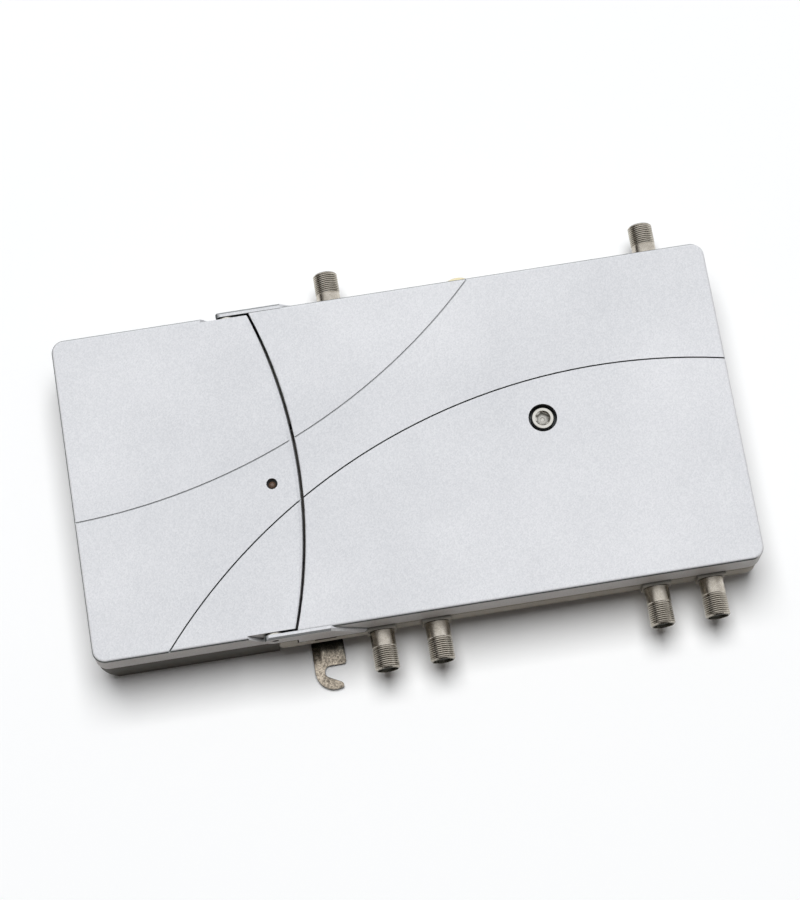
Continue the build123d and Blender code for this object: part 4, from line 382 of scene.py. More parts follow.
# Copper track under the mask: lighter and a little proud.
TRACK = Finish(
    "masked_copper_track", "2f8249", "286f3f", 0.3, grain=0.6, relief=0.004, patch=6.0, coat=0.3,
    ior=1.55)
# Solder and tinned copper: bright and slightly wavy.
SOLDER = Finish("tinned_solder", "c9cac9", "a8aaa9", 0.25, 1.0, grain=0.7, relief=0.02, patch=2.0)
# Tinplate drawn into a can: bright with rolling lines.
TINPLATE = Finish(
    "drawn_tinplate", "cfcfcc", "b3b3af", 0.26, 1.0, Surface.BRUSHED, relief=0.006, patch=10.0,
    streak=(0.08, 1.0, 1.0))
# Black epoxy moulding of a component: fine matt.
BLACK_MOULDING = Finish(
    "black_epoxy_moulding", "2b2b2c", "202021", 0.5, grain=0.3, patch=4.0, ior=1.55)
# Blue thermoset of an adjuster: half gloss.
BLUE_THERMOSET = Finish(
    "blue_thermoset", "2f5fa5", "264e8b", 0.38, grain=0.3, relief=0.006, patch=3.0, ior=1.55)
# White acetal: waxy and a little warm.
WHITE_ACETAL = Finish(
    "white_acetal", "e9e7e0", "d6d3c9", 0.36, grain=0.3, relief=0.006, patch=3.0, ior=1.48)
# Enamelled copper wire: red brown, glossy.
ENAMELLED_WIRE = Finish(
    "enamelled_copper_wire", "b5683a", "8d4a24", 0.24, 0.85, grain=0.3, relief=0.004, patch=2.0,
    coat=0.5)
# Ground ferrite: dark grey and chalky.
FERRITE = Finish(
    "ground_ferrite", "4a4a4d", "3a3a3d", 0.65, grain=0.3, relief=0.015, patch=4.0, ior=2.0)
# Sleeve of a capacitor: dark blue and glossy.
CAPACITOR_SLEEVE = Finish(
    "capacitor_sleeve", "1c2b4c", "141f38", 0.22, grain=0.6, relief=0.006, patch=6.0, coat=0.4,
    ior=1.54)
# Extruded aluminium: die lines along the fin.
EXTRUSION = Finish(
    "mill_finish_extrusion", "c6c7c9", "acadb0", 0.35, 1.0, Surface.BRUSHED, relief=0.008,
    patch=8.0, streak=(1.0, 1.0, 0.06))
# Soda glass of a fuse: clear.
FUSE_GLASS = Finish(
    "fuse_glass", "eef3f2", "dfe8e6", 0.06, grain=0.8, relief=0.002, patch=5.0, swing=0.02,
    transmission=0.85)
# Green polyamide: half gloss.
TERMINAL_GREEN = Finish("green_polyamide", "3f8a5a", "347649", 0.42, grain=0.3, patch=4.0, ior=1.53)
# Black silicone sleeve of a lead: soft sheen.
BLACK_SLEEVE = Finish("black_lead_sleeve", "262627", "1c1c1d", 0.42, grain=0.4, patch=4.0, ior=1.45)
# Sintered ceramic of a chip: brown and plain.
CERAMIC = Finish("ceramic_chip", "b89a72", "9c8059", 0.45, grain=0.3, patch=1.5, ior=1.6)


@dataclass
class Mesh:
    """Vertices in millimetres, faces, and for painted shade a share from 0 to 1 at each vertex."""

    vertices: Array
    faces: list[tuple[int, ...]]
    depth: Array | None = None
    merge_metres: float = 1e-7
    sharp_degrees: float = 32.0

    def joined(self, other: "Mesh") -> "Mesh":
        """Put another mesh beside this one.

        Args:
            other: the mesh to add.

        Returns:
            One mesh that holds both.
        """
        count = len(self.vertices)
        moved = [tuple(i + count for i in face) for face in other.faces]
        depth = None
        if self.depth is not None and other.depth is not None:
            depth = np.concatenate([self.depth, other.depth])
        return Mesh(np.vstack([self.vertices, other.vertices]), self.faces + moved, depth)

    def shifted(self, offset: Triple) -> "Mesh":
        """The same mesh moved by an offset in millimetres."""
        return Mesh(self.vertices + offset, list(self.faces))

    def made(self, name: str, finish: Finish, body: str, smooth: bool = True) -> bpy.types.Object:
        """Make the Blender object, merged, with its faces outwards.

        Args:
            name: the piece's name.
            finish: the finish that covers it.
            body: the CAD body that it rides on.
            smooth: shade it smooth, but keep sharp edges.

        Returns:
            The finished piece, at the origin.
        """
        data = bpy.data.meshes.new(name)
        data.from_pydata(metres(self.vertices).tolist(), [], self.faces)
        if self.depth is not None:
            data.attributes.new("depth", "FLOAT", "POINT").data.foreach_set("value", self.depth)
        shape = bmesh.new()
        shape.from_mesh(data)
        bmesh.ops.remove_doubles(shape, verts=shape.verts, dist=self.merge_metres)
        bmesh.ops.recalc_face_normals(shape, faces=shape.faces)
        shape.to_mesh(data)
        shape.free()
        data.validate()
        if smooth:
            data.shade_smooth()
            data.set_sharp_from_angle(angle=math.radians(self.sharp_degrees))
        made = placed(name, data)
        data.materials.append(finish.material())
        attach(made, body)
        LOG.info("piece %s: %d faces on %s", name, len(data.polygons), body)
        return made


def combined(meshes: list[Mesh]) -> Mesh:
    """Put meshes side by side in one, in their order."""
    return reduce(Mesh.joined, meshes)


def circle(count: int, closed: bool = False) -> Array:
    """Angles of one full turn, with the last one on the first when closed."""
    return np.linspace(0, FULL_TURN, count, endpoint=closed)


def grid(points: Array, wrap_rows: bool = False, wrap_columns: bool = False) -> Mesh:
    """Turn a grid of points into four-sided faces.

    Args:
        points: array of rows by columns by 3, in millimetres.
        wrap_rows: join the last row to the first.
        wrap_columns: join the last column to the first.

    Returns:
        The mesh, one face for each cell.
    """
    rows, columns = points.shape[:2]
    number = np.arange(rows * columns).reshape(rows, columns)
    if wrap_rows:
        number = np.vstack([number, number[:1]])
    if wrap_columns:
        number = np.hstack([number, number[:, :1]])
    cells = np.stack([number[:-1, :-1], number[1:, :-1], number[1:, 1:], number[:-1, 1:]], axis=-1)
    return Mesh(points.reshape(-1, 3), [tuple(cell) for cell in cells.reshape(-1, 4).tolist()])


def capped(points: Array) -> Mesh:
    """A tube of rings, closed at both ends with one face each.

    Args:
        points: rings by points of a ring by 3.

    Returns:
        The closed mesh.
    """
    body = grid(points, wrap_columns=True)
    rows, columns = points.shape[:2]
    body.faces.append(tuple(range(columns)))
    body.faces.append(tuple((rows - 1) * columns + i for i in range(columns)))
    return body


def unit_rows(vectors: Array) -> Array:
    """Every row's vector made one long."""
    return vectors / np.linalg.norm(vectors, axis=1, keepdims=True)


def tube(path: Array, aside: Array, radius: float, sides: int = 10) -> Mesh:
    """Carry a circle along a path.

    Args:
        path: the centre line, points by 3.
        aside: for each point a direction that is never along the path.
        radius: the wire's radius.
        sides: the circle's number of points.

    Returns:
        A closed tube: each ring is centre + radius (cos a, sin a) in the plane square to the path.
    """
    along = unit_rows(np.gradient(path, axis=0))
    across = unit_rows(aside - (aside * along).sum(1, keepdims=True) * along)
    third = np.cross(along, across)
    angle = circle(sides)
    ring = (np.cos(angle)[None, :, None] * across[:, None, :]
            + np.sin(angle)[None, :, None] * third[:, None, :])
    return capped(path[:, None, :] + radius * ring)


def rounded_block(size: Triple, centre: Triple, rounding: float, sides: int = 20) -> Mesh:
    """A block with rounded upright edges and a bevelled top.

    Args:
        size: length, width and height.
        centre: middle of its underside.
        rounding: the corner's radius; the top bevel is half of it.
        sides: the outline's points, a multiple of four.

    Returns:
        Rings of a rounded rectangle, the last pulled in by the bevel.
    """
    turns = circle(sides) + np.pi / sides
    half = np.array(size[:2]) / 2 - rounding
    unit = np.stack([np.cos(turns), np.sin(turns)], axis=1)
    corner = np.sign(unit) * half
    bevel = rounding / 2
    levels = [(0.0, rounding), (size[2] - bevel, rounding), (size[2], rounding - bevel)]
    rings = [np.column_stack([corner + radius * unit, np.full(sides, height)])
             for height, radius in levels]
    return capped(np.array(rings) + centre)


@dataclass
class PortRow:
    """The six threaded ports, four in the front wall and two in the back."""

    front: tuple[float, ...] = (-19.2, 2.0, 86.7, 107.9)
    back: tuple[float, ...] = (-18.6, 107.3)
    axis_height: float = 12.3
    wall: float = 64.0
    boss: float = 1.1
    sunk: float = 0.6
    proud: float = 0.02
    rounding: float = 0.25
    collar_end: float = 7.5
    shoulder: float = 0.2
    undercut: float = 0.05
    neck: float = 0.25
    reach: float = 16.2
    collar_radius: float = 4.7
    shank_radius: float = 4.0
    thread_radius: float = 4.76
    thread_depth: float = 0.28
    pitch: float = 0.794
    run_in: float = 0.4
    run_out: float = 0.5
    groove_gain: float = 1.6
    groove_drop: float = 0.6
    chamfer: float = 0.6
    lip: float = 0.15
    bore_radius: float = 3.9
    mouth_bevel: float = 0.1
    mouth_depth: float = 1.6
    # Share of painted shade spread over the port's mouth and bore
    mouth_shade_share: float = 0.7
    sides: int = 96
    rows: int = 12

    def turned(self, profile: list[Pair]) -> Mesh:
        """Turn a profile round the port's axis.

        Args:
            profile: place along the axis and radius, point by point.

        Returns:
            The surface (r sin t, s, r cos t), without painted shade.
        """
        turn = circle(self.sides + 1, closed=True)[None]
        place, radius = np.array(profile).T[:, :, None]
        points = [radius * np.sin(turn), place + 0 * turn, radius * np.cos(turn)]
        made = grid(np.stack(points, axis=-1))
        made.depth = np.zeros(len(made.vertices))
        return made

    def thread(self, start: float, finish: float) -> Mesh:
        """A right-hand screw thread between two places on the axis.

        Args:
            start: where it rises out of the neck.
            finish: where it runs out before the chamfer.

        Returns:
            Row k lies at s = first + pitch (k / rows + t / 2 pi), so that ridges follow the rows.
            The radius is the crest's, less thread_depth times a clipped saw of k / rows, which
            fades at both ends. Painted shade in the grooves follows the saw.
        """
        turn = circle(self.sides + 1, closed=True)[None]
        count = int((finish - start) / self.pitch + 2) * self.rows
        row = np.arange(count + 1)[:, None] / self.rows
        place = start + self.pitch * (row - 1 + turn / FULL_TURN)
        place = np.clip(place, start, finish)
        rise = np.clip((place - start) / self.run_in, 0, 1)
        fade = rise * np.clip((finish - place) / self.run_out, 0, 1)
        saw = 1 - np.abs(2 * (row % 1.0) - 1)
        groove = np.clip(self.groove_gain * saw - self.groove_drop, 0, 1)
        radius = self.thread_radius - self.thread_depth * (1 - rise + groove * fade)
        made = grid(np.stack([radius * np.sin(turn), place, radius * np.cos(turn)], axis=-1))
        made.depth = (groove * fade).ravel()
        return made

    def body(self) -> Mesh:
        """Draw one port along +Y from the body's wall plane.

        Returns:
            Bore, shank, collar, neck, thread, chamfer and mouth, as one surface of rings.
        """
        base = self.boss - self.sunk
        seat = self.boss + self.proud
        start = self.collar_end + self.neck
        end = self.reach
        finish = end - self.chamfer
        root = self.thread_radius - self.thread_depth
        face = self.thread_radius - self.chamfer
        shank = self.turned([
            (base, self.bore_radius), (base, self.shank_radius), (seat, self.shank_radius),
            (seat, self.collar_radius - self.rounding), (seat + self.rounding, self.collar_radius),
            (self.collar_end - self.shoulder, self.collar_radius),
            (self.collar_end, self.collar_radius - self.shoulder),
            (self.collar_end + self.undercut, root), (start, root),
        ])
        mouth = self.turned([
            (finish, self.thread_radius), (end - self.lip, face + self.lip), (end, face),
            (end, self.bore_radius + self.mouth_bevel), (end - self.mouth_bevel, self.bore_radius),
            (end - self.mouth_depth, self.bore_radius), (base, self.bore_radius),
        ])
        # Painted shade over the port's whole mouth and bore
        mouth.depth = np.full(len(mouth.vertices), self.mouth_shade_share)
        return combined([shank, self.thread(start, finish), mouth])

    def build(self) -> None:
        """Make every port in its place."""
        drawn = self.body()
        spots = [(x, -1) for x in self.front] + [(x, 1) for x in self.back]
        for index, (x, side) in enumerate(spots):
            turned = drawn.vertices * (side, side, 1)
            shell = Mesh(turned + (x, side * self.wall, self.axis_height), drawn.faces, drawn.depth)
            made = shell.made(f"threaded_port_{index + 1}", NICKEL, "housing")
            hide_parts(f"f_port_{index + 1}")


@dataclass
class WallHook:
    """The steel strip with an open bow, its pressed edges rounded."""

    edge: float = 0.28
    segments: int = 3
    profile: float = 0.5
    merge_metres: float = 1e-6
    flat_degrees: float = 2.0
    dissolve_degrees: float = 1.0
    corner_degrees: float = 60.0
    sharp_degrees: float = 50.0

    def build(self, nodes: dict[str, bpy.types.Object]) -> None:
        """Round the edges of a merged copy of the hook's solid.

        Args:
            nodes: the CAD nodes by name.
        """
        data = nodes["wall_hook"].data.copy()
        shape = bmesh.new()
        shape.from_mesh(data)
        bmesh.ops.remove_doubles(shape, verts=shape.verts, dist=self.merge_metres)
        flat = [e for e in shape.edges if e.calc_face_angle(0.0) < math.radians(self.flat_degrees)]
        bmesh.ops.dissolve_limit(shape, angle_limit=math.radians(self.dissolve_degrees),
                                 verts=shape.verts, edges=flat)
        corner = math.radians(self.corner_degrees)
        level = [e for e in shape.edges if e.calc_face_angle(0.0) > corner
                 and abs(e.verts[0].co.z - e.verts[1].co.z) < self.merge_metres]
        bmesh.ops.bevel(shape, geom=level, offset=metre(self.edge), segments=self.segments,
                        profile=self.profile, affect="EDGES", clamp_overlap=True)
        shape.to_mesh(data)
        shape.free()
        data.materials.clear()
        data.materials.append(ZINC_PLATE.material())
        data.shade_smooth()
        data.set_sharp_from_angle(angle=math.radians(self.sharp_degrees))
        made = placed("rounded_wall_hook", data)
        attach(made, "housing")
        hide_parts("wall_hook")
        LOG.info("piece %s: %d faces", made.name, len(data.polygons))


@dataclass
class SocketScrew:
    """The cap screw that holds the lid: threaded shank, knurled head, chamfered hexagon socket.

    The two edge tables hold, point by point, the way in from the seat or the top and from the side.
    """

    middle: Pair = (54.21, 3.5)
    seat: float = 24.1
    top: float = 29.1
    tip: float = 14.7
    tip_length: float = 0.5
    tip_taper: float = 0.75
    shank: float = 2.45
    pitch: float = 0.8
    thread_depth: float = 0.38
    thread_rows: int = 130
    thread_gap: float = 1.2
    run_out: float = 0.6
    groove_gain: float = 1.3
    groove_drop: float = 0.2
    head: float = 4.25
    seat_edge: tuple[Pair, ...] = ((0.0, 0.3), (0.2, 0.1))
    top_edge: tuple[Pair, ...] = ((0.7, 0.02), (0.4, 0.06), (0.14, 0.2), (0.0, 0.45))
    knurl_foot: float = 0.4
    knurl_top: float = 0.9
    knurl_depth: float = 0.12
    knurls: int = 40
    socket_mouth: float = 2.95
    mouth_bevel: float = 0.06
    hexagon: float = 4.7
    chamfer_depth: float = 0.42
    socket_depth: float = 2.4
    drill: float = 0.95
    drill_depth: float = 0.35
    drill_taper: float = 0.12
    sides: int = 240

    def hexagonal(self, turn: Array) -> Array:
        """The hexagon's radius at each angle: half its width over the cosine from the flat."""
        sixth = np.pi / 3
        return self.hexagon / 2 / np.cos((turn + sixth / 2) % sixth - sixth / 2)

    def build(self) -> None:
        """Draw the screw as one stack of rings from its tip over the head to the socket's floor.

        The shank's radius drops by a clipped saw of (z / pitch - angle / 2 pi), and the head's by
        a cosine of the angle times the number of knurls.
        """
        turn = circle(self.sides)[None]
        height = np.linspace(self.tip + self.tip_length, self.seat, self.thread_rows)[:, None]
        saw = 1 - np.abs(2 * ((height / self.pitch - turn / FULL_TURN) % 1.0) - 1)
        fade = np.clip((self.seat - self.thread_gap - height) / self.run_out, 0, 1)
        groove = np.clip(self.groove_gain * saw - self.groove_drop, 0, 1)
        shank = self.shank - self.thread_depth * groove * fade
        ridge = self.head - self.knurl_depth * (0.5 - 0.5 * np.cos(self.knurls * turn))
        flat = 0 * turn
        top, floor = self.top, self.top - self.socket_depth
        six = self.hexagonal(turn)
        stations = [(self.seat + rise, flat + self.head - inset) for rise, inset in self.seat_edge]
        stations += [(self.seat + self.knurl_foot, ridge), (top - self.knurl_top, ridge)]
        stations += [(top - drop, flat + self.head - inset) for drop, inset in self.top_edge]
        stations += [
            (top, flat + self.socket_mouth),
            (top - self.mouth_bevel, flat + self.socket_mouth - self.mouth_bevel),
            (top - self.chamfer_depth, six), (floor, six), (floor, flat + self.drill),
            (floor - self.drill_depth, flat + self.drill - self.drill_taper),
        ]
        levels = [self.tip, *height[:, 0], *[z for z, _ in stations]]
        radius = np.vstack([flat + self.shank - self.tip_taper, shank, *[r for _, r in stations]])
        place = np.array(levels)[:, None] + flat
        rings = np.stack([self.middle[0] + radius * np.cos(turn),
                          self.middle[1] + radius * np.sin(turn), place], axis=-1)
        made = capped(rings).made("socket_screw", SCREW_STEEL, "lock_screw")
        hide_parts("cover_screw")


@dataclass
class HingeWashers:
    """The pale washer that fills the gap beside each ear."""

    pin_x: float = -59.296
    pin_z: float = 26.2
    inner_y: float = 62.68
    outer_y: float = 63.42
    bore: float = 1.27
    radius: float = 2.75
    rounding: float = 0.3
    corner_share: float = 0.3
    sides: int = 48

    def build(self) -> None:
        """Turn a rounded washer profile round each pin."""
        turn = circle(self.sides)[:, None]
        corner = self.rounding * self.corner_share
        rise = np.array([0, 0, corner, self.rounding])
        inset = np.array([self.radius - self.bore, self.rounding, corner, 0])
        place = np.concatenate([self.inner_y + rise, (self.outer_y - rise)[::-1]])
        reach = self.radius - np.concatenate([inset, inset[::-1]])
        ring = np.stack([reach * np.cos(turn), place + 0 * turn, reach * np.sin(turn)], axis=-1)
        drawn = grid(ring, wrap_rows=True, wrap_columns=True)
        sides = [Mesh(drawn.vertices * (1, side, 1), drawn.faces) for side in (-1, 1)]
        both = combined(sides).shifted((self.pin_x, 0, self.pin_z))
        both.made("hinge_washers", WHITE_ACETAL, "housing")


@dataclass
class BoardDetail:
    """What stands on the amplifier board besides its large parts.

    A row of chips is its number, first x, step in x, first y, step in y, and how far every second
    chip is moved in y. A lead's path is given by y and z, and a track's by x and y.
    """

    top: float = 11.7
    coil_number: int = 4
    coil_x: float = 34.0
    coil_pitch: float = 8.0
    coil_y: float = 36.0
    coil_radius: float = 2.4
    coil_length: float = 6.0
    coil_turns: int = 6
    coil_steps: int = 40
    coil_sides: int = 8
    wire_radius: float = 0.32
    leg_sunk: float = 0.4
    leg_steps: int = 6
    bend_steps: int = 3
    ring_places: tuple[Pair, ...] = (
        (-30.0, -36.0), (12.0, -40.0), (66.0, 22.0), (24.0, -20.0))
    ring_radius: float = 2.6
    ring_section: float = 1.0
    ring_steps: int = 40
    section_steps: int = 16
    winding_arc: float = 1.75 * np.pi
    winding_steps: int = 320
    winding_turns: int = 9
    winding_wire: float = 0.2
    winding_sides: int = 6
    chip_rows: tuple[tuple[float, ...], ...] = (
        (7, -29.0, 6.2, -6.0, 0.0, -1.4), (8, 24.0, 0.0, -12.0, 4.6, 0.0),
        (8, 70.0, 5.4, 8.0, 0.0, 1.8), (4, 66.0, 0.0, 36.0, 4.2, 0.0))
    chip_size: Triple = (1.5, 1.35, 0.7)
    chip_rounding: float = 0.12
    end_size: Triple = (0.6, 1.45, 0.78)
    end_rounding: float = 0.15
    end_offset: float = 0.95
    package_places: tuple[Pair, ...] = ((34.0, 12.0), (36.0, -4.0), (74.0, -2.0))
    package_size: Triple = (4.9, 3.9, 1.45)
    package_rounding: float = 0.3
    package_gap: float = 0.15
    lead_path: tuple[Pair, ...] = (
        (1.8, 0.8), (2.3, 0.8), (2.55, 0.55), (2.65, 0.2), (2.85, 0.08), (3.2, 0.08))
    lead_places: tuple[float, ...] = (-1.905, -0.635, 0.635, 1.905)
    lead_radius: float = 0.22
    lead_sides: int = 4
    track_half: float = 0.9
    track_sunk: float = 0.02
    track_proud: float = 0.07
    routes: tuple[tuple[Pair, ...], ...] = (
        ((-19.2, -56.0), (-19.2, -40.0), (-26.0, -33.0), (-26.0, -12.0)),
        ((2.0, -56.0), (2.0, -44.0), (26.0, -44.0), (26.0, 40.0), (31.0, 45.0), (60.0, 45.0)),
        ((86.7, -56.0), (86.7, -49.0), (66.0, -49.0), (66.0, -10.0), (70.0, -4.0)),
        ((107.9, -56.0), (107.9, -50.0), (117.0, -41.0), (117.0, 10.0), (108.0, 14.0)),
        ((-18.6, 56.0), (-18.6, 51.0), (-8.0, 49.5), (22.0, 49.5), (22.0, 20.0)),
        ((107.3, 56.0), (107.3, 44.0), (98.0, 36.0), (98.0, 31.5)),
        ((60.0, 45.0), (84.0, 45.0), (84.0, 32.0)))

    def coil(self, x: float) -> Mesh:
        """An air-wound coil with its two legs in the board.

        Args:
            x: the coil's place along the body.

        Returns:
            A tube along (R sin a, L a / 2 pi n, R cos a), with a straight leg down from each end.
        """
        mean = self.coil_radius - self.wire_radius
        last = np.pi + FULL_TURN * self.coil_turns
        angle = np.linspace(np.pi, last, self.coil_steps * self.coil_turns)
        run = np.linspace(-0.5, 0.5, len(angle)) * (self.coil_length - 2 * self.wire_radius)
        turns = np.stack([mean * np.sin(angle), run, mean * np.cos(angle)], axis=1)
        outward = np.stack([np.sin(angle), 0 * angle, np.cos(angle)], axis=1)
        drop = np.linspace(1, 0, self.leg_steps, endpoint=False)[:, None]
        leg = np.array([0, 0, -(self.coil_radius + self.leg_sunk - mean)])
        path = np.vstack([turns[0] + drop * leg, turns, turns[-1] + drop[::-1] * leg])
        aside = np.pad(outward, ((self.leg_steps, self.leg_steps), (0, 0)))
        straight = self.leg_steps + self.bend_steps
        aside[:straight] = aside[-straight:] = [1.0, 0, 0]
        wire = tube(path, aside, self.wire_radius, self.coil_sides)
        return wire.shifted((x, self.coil_y, self.top + self.coil_radius))

    def on_ring(self, section: float, around: Array, across: Array) -> Array:
        """Points on a ring's skin.

        Args:
            section: the radius r of the ring's own section.
            around: angles u round the ring.
            across: angles v round its section.

        Returns:
            ((R + r cos v) cos u, (R + r cos v) sin u, r sin v).
        """
        reach = self.ring_radius + section * np.cos(across)
        return np.stack([reach * np.cos(around), reach * np.sin(around),
                         section * np.sin(across) + 0 * around], axis=-1)

    def toroid(self, x: float, y: float) -> tuple[Mesh, Mesh]:
        """A ferrite ring wound with wire.

        Args:
            x: place along the body.
            y: place across the body.

        Returns:
            The ring, a circle carried round a circle, and its winding, which goes round the ring's
            section n times in a full turn, and leaves a gap in the ring.
        """
        around = circle(self.ring_steps)[:, None]
        ring = self.on_ring(self.ring_section, around, circle(self.section_steps)[None])
        core = grid(ring, wrap_rows=True, wrap_columns=True)
        a = np.linspace(0, self.winding_arc, self.winding_steps)
        b = a * self.winding_turns
        reach = self.ring_section + self.winding_wire
        aside = np.stack([np.cos(b) * np.cos(a), np.cos(b) * np.sin(a), np.sin(b)], axis=1)
        wire = tube(self.on_ring(reach, a, b), aside, self.winding_wire, self.winding_sides)
        place = (x, y, self.top + reach + self.winding_wire)
        return core.shifted(place), wire.shifted(place)

    def chips(self) -> tuple[Mesh, Mesh]:
        """Ceramic chips with tinned ends, in rows along the signal path.

        Returns:
            The bodies and the ends, each as one mesh.
        """
        spots = [(x + step_x * i, y + step_y * i + stagger * (i % 2))
                 for number, x, step_x, y, step_y, stagger in self.chip_rows
                 for i in range(number)]
        bodies = [rounded_block(self.chip_size, (x, y, self.top), self.chip_rounding)
                  for x, y in spots]
        ends = [rounded_block(self.end_size, (x + offset, y, self.top), self.end_rounding)
                for x, y in spots for offset in (-self.end_offset, self.end_offset)]
        return combined(bodies), combined(ends)

    def circuits(self) -> tuple[Mesh, Mesh]:
        """Small packages with bent leads on both long sides.

        Returns:
            The mouldings and their leads, each as one mesh.
        """
        bodies = [rounded_block(self.package_size, (x, y, self.top + self.package_gap),
                                self.package_rounding) for x, y in self.package_places]
        bend = np.array([(0.0, y, z) for y, z in self.lead_path])
        aside = np.tile([[1.0, 0, 0]], (len(bend), 1))
        both = [tube(bend * (1, side, 1), aside, self.lead_radius, self.lead_sides)
                for side in (-1, 1)]
        leads = [lead.shifted((x + along, y, self.top)) for x, y in self.package_places
                 for lead in both for along in self.lead_places]
        return combined(bodies), combined(leads)

    def track(self, route: tuple[Pair, ...]) -> Mesh:
        """One flat copper track.

        Args:
            route: the points of its middle line.

        Returns:
            A strip of two edges along the bent line, with its thickness.
        """
        line = np.array(route)
        along = unit_rows(np.gradient(line, axis=0))
        aside = np.stack([-along[:, 1], along[:, 0]], axis=1) * self.track_half
        low, high = self.top - self.track_sunk, self.top + self.track_proud
        edges = [np.column_stack([line + side * aside, np.full(len(line), height)])
                 for side, height in ((1, low), (1, high), (-1, high), (-1, low))]
        return capped(np.stack(edges, axis=1))

    def build(self) -> None:
        """Make the small parts of the amplifier board."""
        coils = [self.coil(self.coil_x + i * self.coil_pitch) for i in range(self.coil_number)]
        made = combined(coils).made("wound_filter_coils", ENAMELLED_WIRE, "housing")
        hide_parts("filter_coils")
        cores, wires = [combined(list(kind)) for kind in
                        zip(*[self.toroid(x, y) for x, y in self.ring_places])]
        cores.made("toroid_cores", FERRITE, "housing")
        wires.made("toroid_windings", ENAMELLED_WIRE, "housing")
        bodies, ends = self.chips()
        bodies.made("chip_parts", CERAMIC, "housing")
        ends.made("chip_ends", SOLDER, "housing")
        moulds, leads = self.circuits()
        moulds.made("circuit_packages", BLACK_MOULDING, "housing")
        leads.made("circuit_leads", SOLDER, "housing")
        tracks = combined([self.track(route) for route in self.routes])
        tracks.made("board_tracks", TRACK, "housing", smooth=False)


@dataclass(frozen=True)
class Dress:
    """Which finish each CAD node wears."""

    finishes: tuple[tuple[Finish, tuple[str, ...]], ...] = (
        (SILVER_PAINT, ("amplifier_cover", "power_supply_cover")),
        (CAST_METAL, ("amplifier_chassis",)),
        (DARK_ABS, ("power_supply_base",)),
        (NICKEL, tuple(f"f_port_{i}" for i in range(1, 7))),
        (INSULATOR, ("port_insulators",)),
        (CONTACT_WIRE, ("port_contacts", "power_feedthrough")),
        (CREAM_NYLON, ("rear_plug",)),
        (ZINC_PLATE, ("wall_hook", "wall_hook_screw")),
        (SCREW_STEEL, ("hinge_pins", "cover_screw", "cover_screw_retainer", "cover_screw_nut",
                       "board_screws", "module_screws", "supply_board_screws", "housing_screws",
                       "joining_screws")),
        (LAMP_EPOXY, ("status_led",)),
        (GASKET_FOAM, ("cover_gasket",)),
        (SOLDER_MASK, ("amplifier_board", "power_supply_board")),
        (TINPLATE, ("input_shield", "output_shield", "fuse_clips")),
        (BLACK_MOULDING, ("amplifier_module", "pad_sockets", "switching_transistor",
                          "led_holder", "cord_gland")),
        (BLUE_THERMOSET, ("trimmer_bodies",)),
        (WHITE_ACETAL, ("plug_in_pads", "gain_trimmer", "slope_trimmer", "return_trimmer")),
        (ENAMELLED_WIRE, ("filter_coils", "transformer_coil")),
        (FERRITE, ("transformer_core",)),
        (CAPACITOR_SLEEVE, ("smoothing_capacitors", "mains_capacitor", "output_capacitors")),
        (EXTRUSION, ("heat_sink",)),
        (FUSE_GLASS, ("mains_fuse",)),
        (TERMINAL_GREEN, ("terminal_block",)),
        (BLACK_SLEEVE, ("supply_link",)),
    )

    def wear(self, nodes: dict[str, bpy.types.Object]) -> None:
        """Give every CAD node its finish.

        Args:
            nodes: the CAD nodes by name.
        """
        dressed = set()
        for finish, names in self.finishes:
            for name in names:
                data = nodes[name].data
                data.materials.clear()
                data.materials.append(finish.material())
                dressed.add(name)
        bare = sorted(set(nodes) - dressed)
        if bare:
            LOG.warning("nodes without a finish: %s", ", ".join(bare))


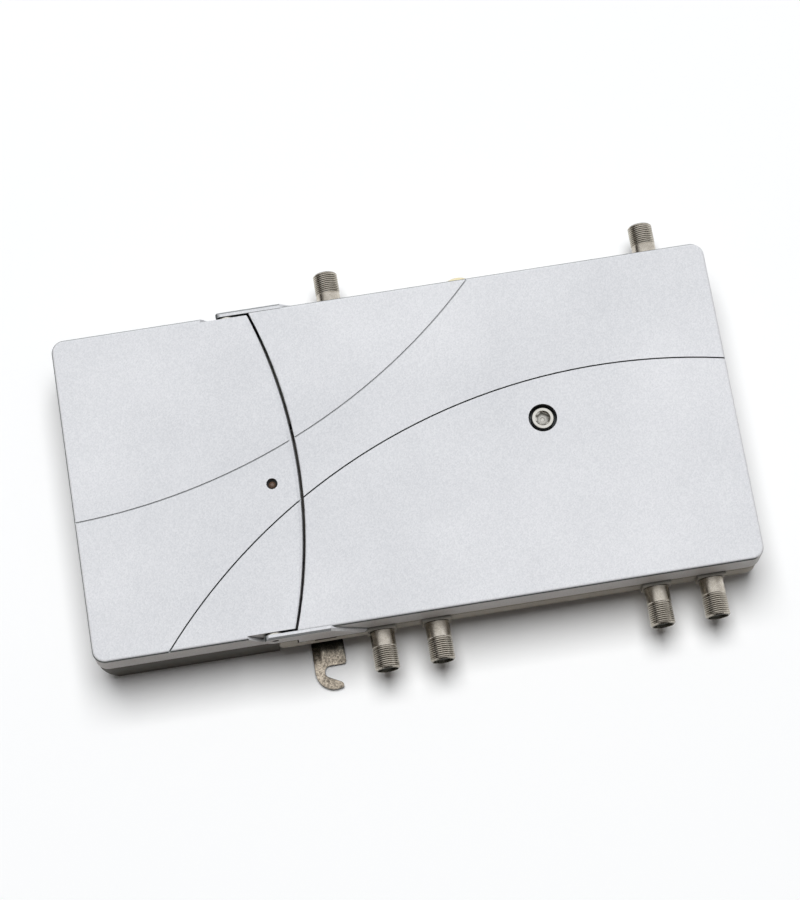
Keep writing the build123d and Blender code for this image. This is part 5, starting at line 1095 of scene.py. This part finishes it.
@dataclass
class Studio:
    """The pale floor, the dim sky, one soft lamp and the camera.

    A lean is a direction, and its span says where along it the sky changes.
    """

    camera_place: Triple = (-45.603, -285.735, 1014.070)
    camera_turn: Triple = (15.598914, 0.142433, -9.252718)
    lens: float = 108.0
    shift_up: float = 0.0389
    clip_metres: Pair = (0.01, 50.0)
    floor_half: float = 6000.0
    floor_height: float = -0.02
    floor_grain: float = 40.0
    floor_tones: tuple[str, str] = ("fbfcfd", "fdfefe")
    floor_bounce: str = "a9a197"
    floor_glow: float = 0.01
    sky_lean: Triple = (0.3, 0.8, 1.0)
    sky_span: Pair = (0.25, 1.0)
    sky_front: str = "4a423a"
    sky_top: str = "5c6066"
    mirrored_lean: Triple = (0.45, 0.5, 0.75)
    mirrored_span: Pair = (-0.05, 0.6)
    mirrored_dark: str = "3c3731"
    mirrored_pale: str = "f6f7f9"
    key_power: float = 700.0
    key_place: Triple = (0.0, 2410.0, 7630.0)
    key_width: float = 5600.0
    key_depth: float = 5350.0

    def camera(self) -> None:
        """Stand the camera where the photograph was taken from."""
        data = bpy.data.cameras.new("camera")
        data.lens = self.lens
        data.shift_y = self.shift_up
        data.clip_start, data.clip_end = self.clip_metres
        made = placed("camera", data)
        made.location = metres(self.camera_place)
        made.rotation_euler = [math.radians(angle) for angle in self.camera_turn]
        bpy.context.scene.camera = made

    def floor_surface(self) -> bpy.types.Material:
        """Build the floor's material.

        Returns:
            Pale to the rays that are seen, darker to those that it throws back at the object.
        """
        surface = bpy.data.materials.new("pale_floor")
        tree = bare_tree(surface)
        grain = add_node(tree, "TexNoise", {"Scale": self.floor_grain})
        tones = [linear(colour) for colour in self.floor_tones]
        tone = blend(tree, grain.outputs["Fac"], *tones)
        seen = seen_rays(tree)
        bounce = blend(tree, seen, linear(self.floor_bounce), tone)
        lit = add_node(tree, "BsdfDiffuse", {0: bounce})
        glow = add_node(tree, "Emission", {0: tone})
        share = sum_node(tree, "MULTIPLY", seen, self.floor_glow)
        shader = add_node(tree, "MixShader", {0: share, 1: lit.outputs[0], 2: glow.outputs[0]})
        add_node(tree, "OutputMaterial", {0: shader.outputs[0]})
        return surface

    def floor(self) -> None:
        """A pale floor that fills the view and keeps the object's shadow."""
        steps = np.linspace(-self.floor_half, self.floor_half, 3)
        x, y = np.meshgrid(steps, steps, indexing="ij")
        shape = grid(np.stack([x, y, 0 * x + self.floor_height], axis=-1))
        data = bpy.data.meshes.new("floor")
        data.from_pydata(metres(shape.vertices).tolist(), [], shape.faces)
        made = placed("floor", data)
        data.materials.append(self.floor_surface())

    def towards(self, tree: Tree, lean: tuple[float, ...], span: Pair) -> Socket:
        """How far a ray of the sky goes along a lean.

        Args:
            tree: the world's nodes.
            lean: the direction, multiplied with the ray's.
            span: the products at which the smooth ramp starts and ends.

        Returns:
            The ramp's output, from 0 to 1.
        """
        ray = add_node(tree, "TexCoord").outputs["Generated"]
        share = add_node(tree, "VectorMath", {0: ray, 1: lean}, operation="DOT_PRODUCT")
        return ramp(tree, share.outputs["Value"], *span, "SMOOTHSTEP")

    def world(self) -> None:
        """A dim sky that gives light, and a paler one that is seen and mirrored."""
        world = bpy.data.worlds.new("studio")
        tree = bare_tree(world)
        dim = blend(tree, self.towards(tree, self.sky_lean, self.sky_span),
                    linear(self.sky_front), linear(self.sky_top))
        mirrored = blend(tree, self.towards(tree, self.mirrored_lean, self.mirrored_span),
                         linear(self.mirrored_dark), linear(self.mirrored_pale))
        shown = blend(tree, seen_rays(tree), dim, mirrored)
        shader = add_node(tree, "Background", {0: shown})
        add_node(tree, "OutputWorld", {0: shader.outputs[0]})
        bpy.context.scene.world = world

    def key(self) -> None:
        """One large lamp, behind and above, that leaves the front edges in shade."""
        lamp = bpy.data.lights.new("key", "AREA")
        lamp.shape = "RECTANGLE"
        lamp.size = metre(self.key_width)
        lamp.size_y = metre(self.key_depth)
        lamp.energy = self.key_power
        made = placed("key", lamp)
        made.visible_glossy = False
        made.location = metres(self.key_place)
        x, y, z = self.key_place
        facing = math.atan2(-y, -x) - math.pi / 2
        made.rotation_euler = (math.atan2(math.hypot(x, y), z), 0.0, facing)

    def build(self) -> None:
        """Set the whole stage."""
        self.camera()
        self.floor()
        self.world()
        self.key()
        bpy.context.scene.view_settings.view_transform = "Standard"


def main() -> None:
    """Build the sub-assemblies in order."""
    logging.basicConfig(level=logging.INFO, format="%(message)s")
    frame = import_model()
    Studio().build()
    Dress().wear(frame["nodes"])
    PortRow().build()
    WallHook().build(frame["nodes"])
    SocketScrew().build()
    HingeWashers().build()
    BoardDetail().build()


if __name__ == "__main__":
    main()
